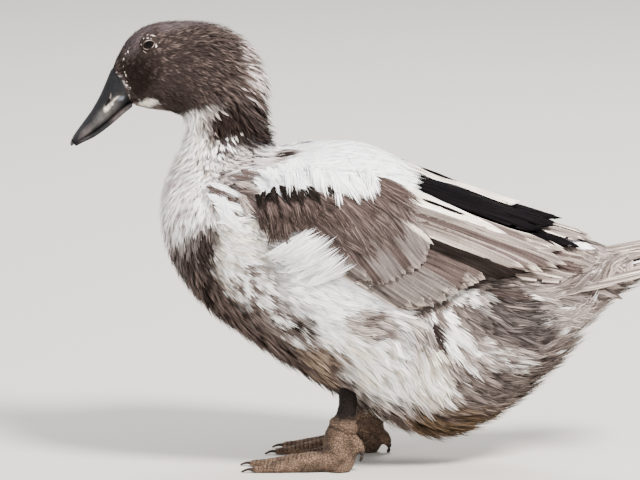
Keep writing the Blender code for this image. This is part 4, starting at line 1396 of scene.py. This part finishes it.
def fanFeathers(fan, side, pick, ground):
    _, _, roots, tips, count, width, layer, step, lift, mainName, edgeName, rest = fan
    loose, keepOff = rest.get("loose", 0.6), rest.get("keep", 6.0) * mm
    found = []
    for k in range(count):
        t = (k + pick.uniform(-0.2, 0.2)) / max(count - 1, 1)
        t = min(max(t, 0.0), 1.0)
        ends = []
        for corners in (roots, tips):
            along, seen = (v + pick.uniform(-loose, loose) for v in lerpLine(corners, t))
            ends.append(castSide(along, seen, side, keepOff, ground))
        (root, rootNormal), (tip, tipNormal) = ends
        chord = tip - root
        flow = chord.normalized()
        outward = (rootNormal + tipNormal).normalized()
        outward = (outward - flow * outward.dot(flow)).normalized()
        main = np.array(vaneColours[mainName])
        if "mix" in rest and pick.random() < rest["mix"]:
            main = np.array(vaneColours["mauve"])
        if mainName != "white":
            main = main * rest.get("shade", 1.0) * pick.uniform(rest.get("even", 0.75), 1.2)
        found.append({
            "place": root, "flow": flow, "outward": outward,
            "tuftLength": chord.length * pick.uniform(0.97, 1.04),
            "tuftWidth": width * mm * pick.uniform(0.92, 1.08), "tuftLift": lift * mm,
            "layer": (layer + step * k) * mm, "coatColour": main, "edgeColour": vaneColours[edgeName],
            "edgeShare": pick.uniform(0.4, 0.9), "shaft": 0.72,
        })
    return found


def laySetFeathers(name, feathers, shapes, surface, settings, finish):
    points = [f["place"] for f in feathers]
    made = meshObject(name, points, [])
    mesh = made.data
    for key in ("flow", "outward"):
        storeValues(mesh, key, [list(f[key]) for f in feathers], "FLOAT_VECTOR")
    for key in ("tuftLength", "tuftWidth", "tuftLift", "layer", "edgeShare", "shaft"):
        storeValues(mesh, key, [f[key] for f in feathers])
    for key in ("coatColour", "edgeColour"):
        storeValues(mesh, key, np.array([list(f[key]) for f in feathers]), "FLOAT_COLOR")
    where = np.array([list(p) for p in points])
    along, back = onBody(where)[:2]
    storeWhere(mesh, where, along, back)
    addTree(made, setTree, {"Shapes": shapes, "Surface": surface, "Finish": finish, **settings})
    finishCoat(made, name, finish)


def layWings():
    for label, side in (("left", 1), ("right", -1)):
        pick = random.Random(5 if side > 0 else 6)
        laid = {"long": [], "broad": [], "barbed": []}
        for fan in fans:
            laid[fan[1]] += fanFeathers(fan, side, pick, formTree)
        for piece, kind, shapes, settings, finish in (
                ("wing_feathers_", "long", vaneShapes, longSettings, vaneCoat),
                ("wing_rows_", "broad", broadShapes, longSettings, vaneCoat),
                ("wing_coverts_", "barbed", barbedShapes, shortSettings, barbedCoat)):
            laySetFeathers(piece + label, laid[kind], shapes, form, settings, finish)


layWings()

tailFan = {
    "count": 11,
    "root": 134.0,  # along
    "root half width": 6.0,
    "tip": 217.0,
    "tip half width": 24.0,
    "tip curve": 7.0,  # how much shorter the outermost are
    "width": 13.0,
}
tailSides = [
    # the outer feathers, one over the next up the side of the tail, as the fans are
    ("tail low", "long", [(112, 118), (116, 125)], [(193, 136), (203, 140)],
     3, 9, -0.8, 0.3, 0.5, "sand", "fawn", {}),
    ("tail side", "long", [(112, 126), (122, 140)], [(205, 142), (214, 150)],
     5, 11, 0.1, 0.3, 0.5, "sand", "cream", {"mix": 0.4}),
    # a narrow soot feather as painted shadow in the gap between the tail's side feathers
    ("gap shadow", "long", [(116, 131)], [(212, 148)],
     1, 3, 1.8, 0.1, 0.5, "soot", "soot", {}),
    ("pale quill", "long", [(116, 128)], [(211, 146)],
     1, 2.2, 2.2, 0.1, 0.5, "white", "white", {}),
]


def makeTailSheet():
    # the thin roof the tail's feathers are laid on
    rows, columns = np.linspace(100, 236, 35), np.linspace(-56, 56, 29)
    points = [(across * mm, along * mm + shift, tailHeight(across, along) * mm)
              for along in rows for across in columns]
    wide = len(columns)
    faces = [(i * wide + j, i * wide + j + 1, (i + 1) * wide + j + 1, (i + 1) * wide + j)
             for i in range(len(rows) - 1) for j in range(wide - 1)]
    made = meshObject("tailSheet", points, faces)
    storeValues(made.data, "upright", vertexArray(made.data, "normal"), "FLOAT_VECTOR")
    return made


def layTail():
    pick = random.Random(17)
    sheet = makeTailSheet()
    found = []
    for side in (1, -1):
        for fan in tailSides:
            found += fanFeathers(fan, side, pick, treeOf(sheet.data))
    for under in (1, 0):
        for k in range(tailFan["count"]):
            t = (2 * k + under) / (tailFan["count"] - 1 + under) - 1
            ends = ((t * tailFan["root half width"], tailFan["root"] + 24 * under),
                    (t * tailFan["tip half width"], tailFan["tip"] - tailFan["tip curve"] * t * t))
            root, tip = (Vector((x * mm, y * mm + shift, tailHeight(x, y) * mm)) for x, y in ends)
            flow = (tip - root).normalized()
            main = "mauve" if pick.random() < 0.3 else "sand"
            found.append({
                "place": root, "flow": flow, "outward": (Vector((0, 0, 1)) - flow * flow.z).normalized(),
                "tuftLength": (tip - root).length, "tuftWidth": tailFan["width"] * mm, "tuftLift": 0.6 * mm,
                "layer": (2.6 - 1.4 * abs(t) - 0.8 * under) * mm,
                "coatColour": np.array(vaneColours[main]) * pick.uniform(0.8, 1.15),
                "edgeColour": vaneColours["cream"], "edgeShare": 0.7, "shaft": 1.8,
            })
    laySetFeathers("tail_feathers", found, vaneShapes, sheet, longSettings, vaneCoat)
    bpy.data.objects.remove(sheet)


layTail()


# painting a bare surface from named patches

def painted(points, patches, base, wobble, grain):
    # patches: name, (along, up), (half length, half width), tilt, colour, softness
    place = np.asarray(points, float)
    along, seen = sideView(place)
    swirl = np.array([noise.noise_vector(Vector((a * grain, h * grain, 4.0)))[:2]
                      for a, h in zip(along, seen)])
    along, seen = along + wobble * swirl[:, 0], seen + wobble * swirl[:, 1]
    colour = np.tile(np.array(base, float), (len(place), 1))
    for _, centre, radii, tilt, tone, soft in patches:
        weight = 1 - smoothStep(1 - soft, 1 + soft, ovalReach(along, seen, centre, radii, tilt))
        colour += weight[:, None] * (np.array(tone) - colour)
    return colour


def rebuilt(name, nodeNames, voxel, rounds, reshape=None):
    # a smooth, finer copy of some CAD solids
    work = cadCopy(*nodeNames)
    if reshape:
        reshape(work)
    grow(work, voxel * 0.5)
    made = remeshed(name, work, voxel)
    smoothed(made.data, rounds, voxel, 0.4)
    made.data.shade_smooth()
    return made


billSettings = {
    "voxel": 0.5 * mm,
    "rounds": 6,
    "root": 6.0 * mm,  # how far it runs on into the head
    "shut": 1.1 * mm,  # how far the lower half's upper face is raised
    "nostril": (-193.6, 247.2),
    "nostril size": (3.1, 1.15),
    "nostril tilt": 56,
    "nostril depth": 1.1 * mm,
    "nostril rim": 0.25 * mm,
    "ridge gap": 1.3,  # from one ridge to the next along the edge
    "ridge height": 0.10 * mm,
    "colour": (0.008, 0.008, 0.009),
    "wobble": 0.8,  # how far the patches' edges wander
    "grain": 0.3,
}
billPatches = [
    ("ridge", (-199, 258), (30, 3.6), 62, (0.004, 0.004, 0.005), 0.5),
    ("side", (-194, 241), (12, 4), 48, (0.046, 0.043, 0.042), 0.6),
    ("lamellae", (-185.5, 239.5), (7.5, 2.6), 42, (0.046, 0.038, 0.037), 0.6),
    ("blue", (-184.6, 250.0), (2.0, 1.2), 20, (0.07, 0.078, 0.092), 0.6),
    ("pale line", (-188.5, 249.0), (3.6, 0.6), 38, (0.30, 0.26, 0.23), 0.5),
    ("branch", (-191.4, 251.5), (0.45, 2.2), -8, (0.14, 0.12, 0.11), 0.5),
    ("nostril patch", (-194.0, 243.4), (2.7, 1.7), 50, (0.40, 0.35, 0.30), 0.5),
    ("behind nostril", (-190.6, 246.4), (1.5, 0.7), 40, (0.36, 0.31, 0.27), 0.5),
    ("nostril", (-193.6, 247.2), (3.0, 1.1), 56, (0.004, 0.003, 0.003), 0.35),
    ("tip", (-208.3, 226.6), (6.0, 2.6), 50, (0.050, 0.043, 0.043), 0.7),
    ("rim", (-217.0, 219.6), (1.8, 3.5), 0, (0.006, 0.005, 0.006), 0.6),
]


def billMaterial():
    made, tree, shader = newMaterial("billSkin", 0.5, 0.14)
    where = objectPlace(tree)
    mottle, fine = grainOf(tree, where, 420.0, 4.0), grainOf(tree, where, 1800.0, 2.0)
    colour = shaded(tree, attributeNode(tree, "paint", "Color"), scaledPlus(tree, mottle, 1.3, 0.38))
    tree.links.new(colour, shader.inputs["Base Color"])
    linkBump(tree, shader, scaledPlus(tree, mottle, 2.0, fine), 0.35, 0.0003)
    tree.links.new(ranged(tree, mottle, 0.3, 0.7, 0.42, 0.60), shader.inputs["Roughness"])
    return made


def rootedBill(work):
    # the end against the head is carried on into it
    for vertex in work.verts:
        if headTree.find_nearest(vertex.co)[3] < 1.0 * mm:
            vertex.co -= Vector(billWay) * billSettings["root"]


headTree = treeOfNodes("head")
billSkin = billMaterial()


def finishBare(made, finish, slot, *replaced):
    made.data.materials.clear()
    made.data.materials.append(finish)
    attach(made, "root")
    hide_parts(*replaced)
    print(made.name, len(made.data.polygons))


def upperBill(points, normals, along, seen):
    # the nostril with its rim, and fine ridges along the edge
    nostril = (billSettings[key] for key in ("nostril", "nostril size", "nostril tilt"))
    far = ovalReach(along, seen, *nostril)
    dent = smoothStep(1.15, 0.6, far) * billSettings["nostril depth"]
    rim = smoothStep(1.9, 1.25, far) * (1 - smoothStep(1.25, 0.9, far)) * billSettings["nostril rim"]
    ridges = 0.5 + 0.5 * np.sin((along * 0.67 - seen * 0.74) * 2 * math.pi / billSettings["ridge gap"])
    low = smoothStep(0.1, -0.5, normals[:, 2]) * smoothStep(-206, -198, along)
    points = points - normals * (dent - rim)[:, None]
    return points - normals * (billSettings["ridge height"] * ridges * low)[:, None]


def lowerBill(points, normals, along):
    # drawn in behind the nail, and its upper face raised until the bill is shut
    points[:, 1] -= 1.8 * mm * smoothStep(-202, -211, along)
    meets = smoothStep(0.0, 0.6, normals @ np.array(billUp))
    return points + meets[:, None] * np.array(billUp) * billSettings["shut"]


def makeBill():
    for name in ("bill_upper", "bill_lower"):
        made = rebuilt(name + "_skin", [name], billSettings["voxel"], billSettings["rounds"], rootedBill)
        mesh = made.data
        points, normals = vertexArray(mesh), vertexArray(mesh, "normal")
        along, seen = sideView(points)
        if name == "bill_upper":
            points = upperBill(points, normals, along, seen)
        else:
            points = lowerBill(points, normals, along)
        setPoints(mesh, points)
        paint = painted(points, billPatches, *(billSettings[key] for key in ("colour", "wobble", "grain")))
        storeValues(mesh, "paint", paint, "FLOAT_COLOR")
        finishBare(made, billSkin, "bill_skin", name)


makeBill()


# horn: nail of the bill and claws

def hornMaterial(name, root, tip):
    made, tree, shader = newMaterial(name, 0.38, 0.2)
    grain = grainOf(tree, objectPlace(tree), 900.0, 3.0)
    tree.links.new(mixColour(tree, grain, (*root, 1), (*tip, 1)), shader.inputs["Base Color"])
    linkBump(tree, shader, grain, 0.2, 0.0002)
    return made


def makeHorn():
    black = hornMaterial("nailHorn", (0.004, 0.0035, 0.004), (0.014, 0.012, 0.012))
    finishBare(rebuilt("bill_nail_horn", ["bill_nail"], 0.3 * mm, 3), black, "bill_nail", "bill_nail")
    claws = sorted(n for n in nodes if n.startswith("claw_"))
    horn = newObject("claws", meshFrom(cadCopy(*claws), "claws"))
    step = horn.modifiers.new("Round", "SUBSURF")
    step.levels = 2
    bakedMesh(horn)
    points = loweredToes(vertexArray(horn.data) + vertexArray(horn.data, "normal") * 0.45 * mm)
    points[:, 2] = np.maximum(points[:, 2], onFloor)
    setPoints(horn.data, points)
    horn.data.shade_smooth()
    brown = hornMaterial("clawHorn", (0.006, 0.004, 0.0035), (0.035, 0.024, 0.018))
    finishBare(horn, brown, "claw_horn", *claws)


makeHorn()


# eyes: a fine ball in each socket, lids round it, and small feathers over the lids

eyeSettings = {
    "lean": (1.0, -0.16, 0.10),  # the way the left eye looks: out, along, up
    "opening": (4.0, 2.6),  # half length and half height
    "tilt": 24.0,  # front corner low
    "outer": 8.6,  # where the lids meet the skin
    "places round": 56,
    "rings": 16,
    "tufts": 210,
    "flecks": [  # pale tufts: back and up from the eye, length, height, turn
        (-3.5, 4.0, 0.9, 0.5, 40), (-0.8, 4.3, 1.0, 0.5, 5), (1.7, 3.9, 1.0, 0.5, -20),
        (-6.6, 1.6, 0.7, 0.5, 60), (-5.0, 0.0, 0.7, 0.5, 80), (-5.8, -3.0, 0.8, 0.5, -50),
        (7.0, 1.6, 0.8, 0.5, -60), (2.2, 6.0, 2.4, 0.8, -8), (-1.3, 6.3, 0.8, 0.5, 15),
        (4.9, -0.6, 0.5, 1.9, 8), (-2.9, -4.6, 1.9, 0.5, -24),
        # and down the edge of the face above the bill
        (-14.2, -2.6, 0.8, 0.4, -60), (-15.2, -5.0, 1.9, 0.8, -50), (-16.8, -6.4, 1.1, 0.6, -70),
        (-16.0, -8.6, 0.8, 0.4, -40), (-17.9, -10.0, 1.5, 0.5, -50), (-18.8, -11.8, 0.8, 0.6, -30),
        (-17.6, -14.6, 1.8, 0.4, -84), (-16.9, -18.9, 0.8, 0.3, -74), (-16.2, -20.8, 1.9, 0.35, -64),
        (-15.7, -25.2, 1.1, 0.3, -56), (-13.2, -29.4, 0.7, 0.3, -40),
    ],
    "lid colours": ((0.018, 0.012, 0.010), (0.50, 0.44, 0.41)),
}
# rise, how much more of it above the eye, place between eye and skin, width
lidFolds = [(0.28, 0.22, 0.14, 0.07), (-0.14, -0.21, 0.34, 0.08), (0.0, 0.22, 0.50, 0.09)]
paleArcs = [(0.9, 95, 48), (0.9, -8, 22), (0.7, -122, 26)]  # share, degrees round the eye, spread


def eyeAxes(side):
    lean = eyeSettings["lean"]
    outward = Vector((side * lean[0], lean[1], lean[2])).normalized()
    up = (Vector((0, 0, 1)) - outward * outward.z).normalized()
    back = up.cross(outward) if side > 0 else outward.cross(up)
    if back.y < 0:
        back = -back
    return outward, back, up


def lidPatch(side):
    # rings from the eyeball out to the skin, with a thick edge and two folds
    centre = eyeCentres["left" if side > 0 else "right"]
    outward, back, up = eyeAxes(side)
    around, rings, outer = eyeSettings["places round"], eyeSettings["rings"], eyeSettings["outer"] * mm
    halfLength, halfHeight = (v * mm for v in eyeSettings["opening"])
    tilt = math.radians(eyeSettings["tilt"])
    points, tones = [], []
    for i in range(around):
        angle = 2 * math.pi * i / around
        a = halfLength * math.cos(angle)
        h = halfHeight * math.sin(angle) * (1.0 - 0.12 * math.cos(angle) ** 2)
        edgeBack, edgeUp = a * math.cos(tilt) - h * math.sin(tilt), a * math.sin(tilt) + h * math.cos(tilt)
        edge = math.hypot(edgeBack, edgeUp)
        wayBack, wayUp = edgeBack / edge, edgeUp / edge
        far = centre + back * (wayBack * outer) + up * (wayUp * outer)
        place = skinTree.ray_cast(far + outward * 0.02, -outward)[0] or far
        outerHeight = (place - centre).dot(outward) - 0.25 * mm
        upper = smoothStep(-0.3, 0.8, wayUp)
        degrees = math.degrees(math.atan2(wayUp, wayBack))
        arc = sum(share * math.exp(-((degrees - at) / spread) ** 2) for share, at, spread in paleArcs)
        for j in range(rings):
            t = j / (rings - 1)
            r = edge * 0.94 + (outer - edge * 0.94) * t ** 1.25
            ball = math.sqrt(max((eyeRadius + 0.12 * mm) ** 2 - r * r, 0.0)) if r < eyeRadius else 0.0
            slope, leaves = outerHeight + (outer - r) * 0.10, smoothStep(0.0, 0.45, t)
            height = ball if t < 0.02 else max(ball + 0.35 * mm, slope * leaves + (1 - leaves) * ball)
            for rise, moreAbove, at, wide in lidFolds:
                height += (rise + moreAbove * upper) * mm * math.exp(-((t - at) / wide) ** 2)
            if j == rings - 1:
                height = outerHeight
            points.append(centre + back * (wayBack * r) + up * (wayUp * r) + outward * height)
            tones.append(0.85 * min(arc, 1.0) * math.exp(-((t - 0.13) / 0.035) ** 2))
    faces = []
    for i in range(around):
        ahead = (i + 1) % around
        for j in range(rings - 1):
            quad = (i * rings + j, i * rings + j + 1, ahead * rings + j + 1, ahead * rings + j)
            faces.append(quad if side > 0 else quad[::-1])
    made = meshObject("lid", points, faces)
    dark, pale = (np.array(colour) for colour in eyeSettings["lid colours"])
    storeValues(made.data, "skinColour", dark + (pale - dark) * np.array(tones)[:, None], "FLOAT_COLOR")
    return made


def eyeMaterial():
    made, tree, shader = newMaterial("eyeGloss", 0.07, 0.08)
    flecks = grainOf(tree, objectPlace(tree), 1500.0, 3.0)
    ring = ranged(tree, attributeNode(tree, "fromMiddle"), 0.30, 0.34)
    brown = mixColour(tree, flecks, (0.003, 0.0016, 0.0012, 1), (0.011, 0.0055, 0.0035, 1))
    tree.links.new(mixColour(tree, ring, (0.002, 0.002, 0.002, 1), brown), shader.inputs["Base Color"])
    return made


def makeEyes():
    finish = eyeMaterial()
    for label, side in (("left", 1), ("right", -1)):
        work = bmesh.new()
        bmesh.ops.create_uvsphere(work, u_segments=64, v_segments=40, radius=eyeRadius - 0.02 * mm)
        bmesh.ops.translate(work, verts=work.verts, vec=eyeCentres[label])
        mesh = meshFrom(work, "eyeball")
        mesh.shade_smooth()
        away = unit(vertexArray(mesh) - np.array(eyeCentres[label]))
        storeValues(mesh, "fromMiddle", np.arccos(np.clip(away @ np.array(eyeAxes(side)[0]), -1, 1)))
        finishBare(newObject("eyeball_" + label, mesh), finish, "eye", "eye_" + label)


def tuftsWanted(pick):
    # back and up from the eye, length, width, turn, whether pale
    halfLength, halfHeight = eyeSettings["opening"]
    tilt = math.radians(eyeSettings["tilt"])
    wanted = [(b, u, 1.7 * length, 1.9 * height, turn, True)
              for b, u, length, height, turn in eyeSettings["flecks"]]
    while len(wanted) < eyeSettings["tufts"]:
        b, u = pick.uniform(-8.5, 8.5), pick.uniform(-8.5, 8.5)
        across = (b * math.cos(tilt) + u * math.sin(tilt)) / halfLength
        rise = (u * math.cos(tilt) - b * math.sin(tilt)) / halfHeight
        if math.hypot(across, rise) > 1.75 and math.hypot(b, u) < 8.5:
            wanted.append((b, u, pick.uniform(2.0, 2.9), pick.uniform(0.7, 1.0), 0, False))
    return wanted


def layEyeTufts():
    # small feathers over the lids, dark but for the pale flecks
    pick = random.Random(29)
    ground = treeOf(skin.data)
    found = []
    for label, side in (("left", 1), ("right", -1)):
        centre = eyeCentres[label]
        outward, back, up = eyeAxes(side)
        for b, u, length, width, turn, pale in tuftsWanted(pick):
            start = centre + back * (b * mm) + up * (u * mm) + outward * 0.02
            place, normal, _, _ = ground.ray_cast(start, -outward)
            where = np.array([list(place)])
            main, fleck, share = markings(where)
            flow = Vector(lieOf(where, np.array([list(normal)]), coatLie)[0])
            if pale:
                flow = back * math.cos(math.radians(turn)) + up * math.sin(math.radians(turn))
                flow = (flow - normal * flow.dot(normal)).normalized()
                place = place - flow * (0.4 * length * mm)
            colour = main[0] if pick.random() > share[0] else fleck[0]
            found.append({
                "place": place, "flow": flow, "outward": normal, "tuftLength": length * mm,
                "tuftWidth": width * mm, "tuftLift": 0.45 * mm, "layer": (0.35 if pale else 0.0) * mm,
                "coatColour": plumage["cream"] if pale else colour * 0.85,
                "edgeColour": (0, 0, 0), "edgeShare": 0, "shaft": 1,
            })
    laySetFeathers("coat_lids", found, faceShapes, skin, shortSettings, softCoat)


def joinMeshes(target, *others):
    # other meshes added to the target's, with their values
    bpy.ops.object.select_all(action="DESELECT")
    for made in (target, *others):
        made.select_set(True)
    bpy.context.view_layer.objects.active = target
    bpy.ops.object.join()


skinTree = treeOf(skin.data)
lids = [lidPatch(1), lidPatch(-1)]
for lid in lids:
    lid.data.materials.append(skin.data.materials[0])
    storeValues(lid.data, "upright", vertexArray(lid.data, "normal"), "FLOAT_VECTOR")
makeEyes()
joinMeshes(skin, *lids)
layEyeTufts()


def legPaint(points, grooves):
    # tan scaled feet in two tones, with painted shade: dark on the shank above the ankle and in the grooves
    # where the skin folds
    tan, paler, paintedShade = (np.array(legSettings[key]) for key in ("colour", "paler colour", "dusk colour"))
    cloud = noiseAt(points, 130) + 0.5 * noiseAt(points, 420)
    colour = np.tile(tan, (len(points), 1)) * (1 + 0.75 * cloud)[:, None]
    colour += smoothStep(0.1, 0.6, cloud)[:, None] * (paler - colour)
    # painted shade over the shank above the ankle
    above = smoothStep(*legSettings["dusk from"], points[:, 2] / mm + 4 * cloud)[:, None]
    colour += above * (paintedShade * (1 + 0.6 * cloud)[:, None] - colour)
    # the grooves between scutes and in the folds are darkened: painted shade in the creases
    return np.clip(colour * (1 - 0.75 * grooves[:, None]), 0.002, 1.0)


def alongToes(points, label, ankle):
    # how far along the nearest toe each place lies, and how far to its side
    nearest, lengthwise = np.full(len(points), 1e9), np.zeros(len(points))
    start = np.array((ankle.x, ankle.y - 4 * mm))
    for toe in ("inner", "middle", "outer"):
        low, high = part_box(f"claw_{label}_{toe}")
        end = np.array((low + high) / 2)[:2]
        way = (end - start) / np.linalg.norm(end - start)
        gap = points[:, :2] - start
        t = gap @ way
        d = np.abs(gap[:, 0] * way[1] - gap[:, 1] * way[0])
        closer = (d < nearest) & (t > 3 * mm)
        nearest, lengthwise = np.where(closer, d, nearest), np.where(closer, t, lengthwise)
    return lengthwise, nearest


def dips(phase, width):
    # 1 in the groove between two rings, 0 on their backs
    phase = np.mod(phase, 1.0)
    return np.exp(-((np.minimum(phase, 1 - phase)) / width) ** 2)


def scaleLegs(mesh):
    # scutes along the toes, and folds and one thick cuff about the ankle
    points, normals = vertexArray(mesh), vertexArray(mesh, "normal")
    height = points[:, 2] / mm
    grooves, lift = np.zeros(len(points)), np.zeros(len(points))
    wobble = noiseAt(points, 170)
    deepStart, deepFull, deepFade, deepEnd = legSettings["deep folds"]
    for label in ("left", "right"):
        low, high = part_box("leg_" + label)
        ankle = (low + high) / 2
        behind = (points[:, 1] - ankle.y) / mm
        mine = points[:, 0] * (1 if label == "left" else -1) > 0
        lengthwise, aside = alongToes(points, label, ankle)
        onToe = mine * smoothStep(*legSettings["toe half width"], aside / mm)
        onToe *= smoothStep(-0.2, 0.2, normals[:, 2]) * smoothStep(*legSettings["toe height"], height)
        scutes = dips(lengthwise / mm / legSettings["scute"] + 0.10 * wobble, 0.13) * onToe
        fromAnkle = np.hypot(points[:, 0] - ankle.x, points[:, 1] - ankle.y) / mm
        nearAnkle = mine * smoothStep(*legSettings["round ankle"], fromAnkle)
        cuff = height - legSettings["cuff"] + 0.33 * behind + 1.2 * wobble
        lift += onToe * 0.10 + legSettings["cuff rise"] * np.exp(-(cuff / 2.4) ** 2) * nearAnkle
        underCuff = np.exp(-((cuff + 3.6) / 0.8) ** 2) * nearAnkle
        folds = dips((height + 2.2 * wobble + 0.22 * behind) / legSettings["fold"], 0.16)
        folds *= 0.8 * nearAnkle * smoothStep(*legSettings["folds"], height)
        folds *= 0.55 + 0.45 * smoothStep(deepStart, deepFull, height) * smoothStep(deepEnd, deepFade, height)
        grooves = np.max([grooves, scutes, underCuff, folds], axis=0)
    swell = 0.22 * noiseAt(points, 210) * smoothStep(2, 6, height)
    points += normals * ((lift - legSettings["groove depth"] * grooves + swell) * mm)[:, None]
    points[:, 2] = np.maximum(points[:, 2], onFloor)
    setPoints(mesh, points)
    storeValues(mesh, "skinColour", legPaint(points, grooves), "FLOAT_COLOR")


def legMaterial():
    made, tree, shader = newMaterial("legSkin", 0.62, 0.14)
    where = objectPlace(tree)
    # the borders between scale cells are darkened: painted shade in the creases between scales
    edge = outOf(tree, "ShaderNodeTexVoronoi", {"Vector": where, "Scale": 620.0}, feature="DISTANCE_TO_EDGE")
    edge = ranged(tree, edge, 0.0, 0.16)
    colour = shaded(tree, attributeNode(tree, "skinColour", "Color"), scaledPlus(tree, edge, 0.70, 0.42))
    tree.links.new(colour, shader.inputs["Base Color"])
    linkBump(tree, shader, scaledPlus(tree, grainOf(tree, where, 1500.0, 3.0), 0.4, edge), 0.9, 0.0006)
    return made


legs = makeLegs()
scaleLegs(legs.data)
legs.data.materials.append(legMaterial())
legs.data.shade_smooth()
joinMeshes(skin, legs)
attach(skin, "root")
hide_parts("head", "neck", "trunk", "tail", "wing_left", "wing_right",
            "foot_left", "foot_right", "leg_left", "leg_right")

for kept in templateSets:
    for made in list(kept.objects):
        bpy.data.objects.remove(made)
    bpy.data.collections.remove(kept)
bpy.data.objects.remove(form)
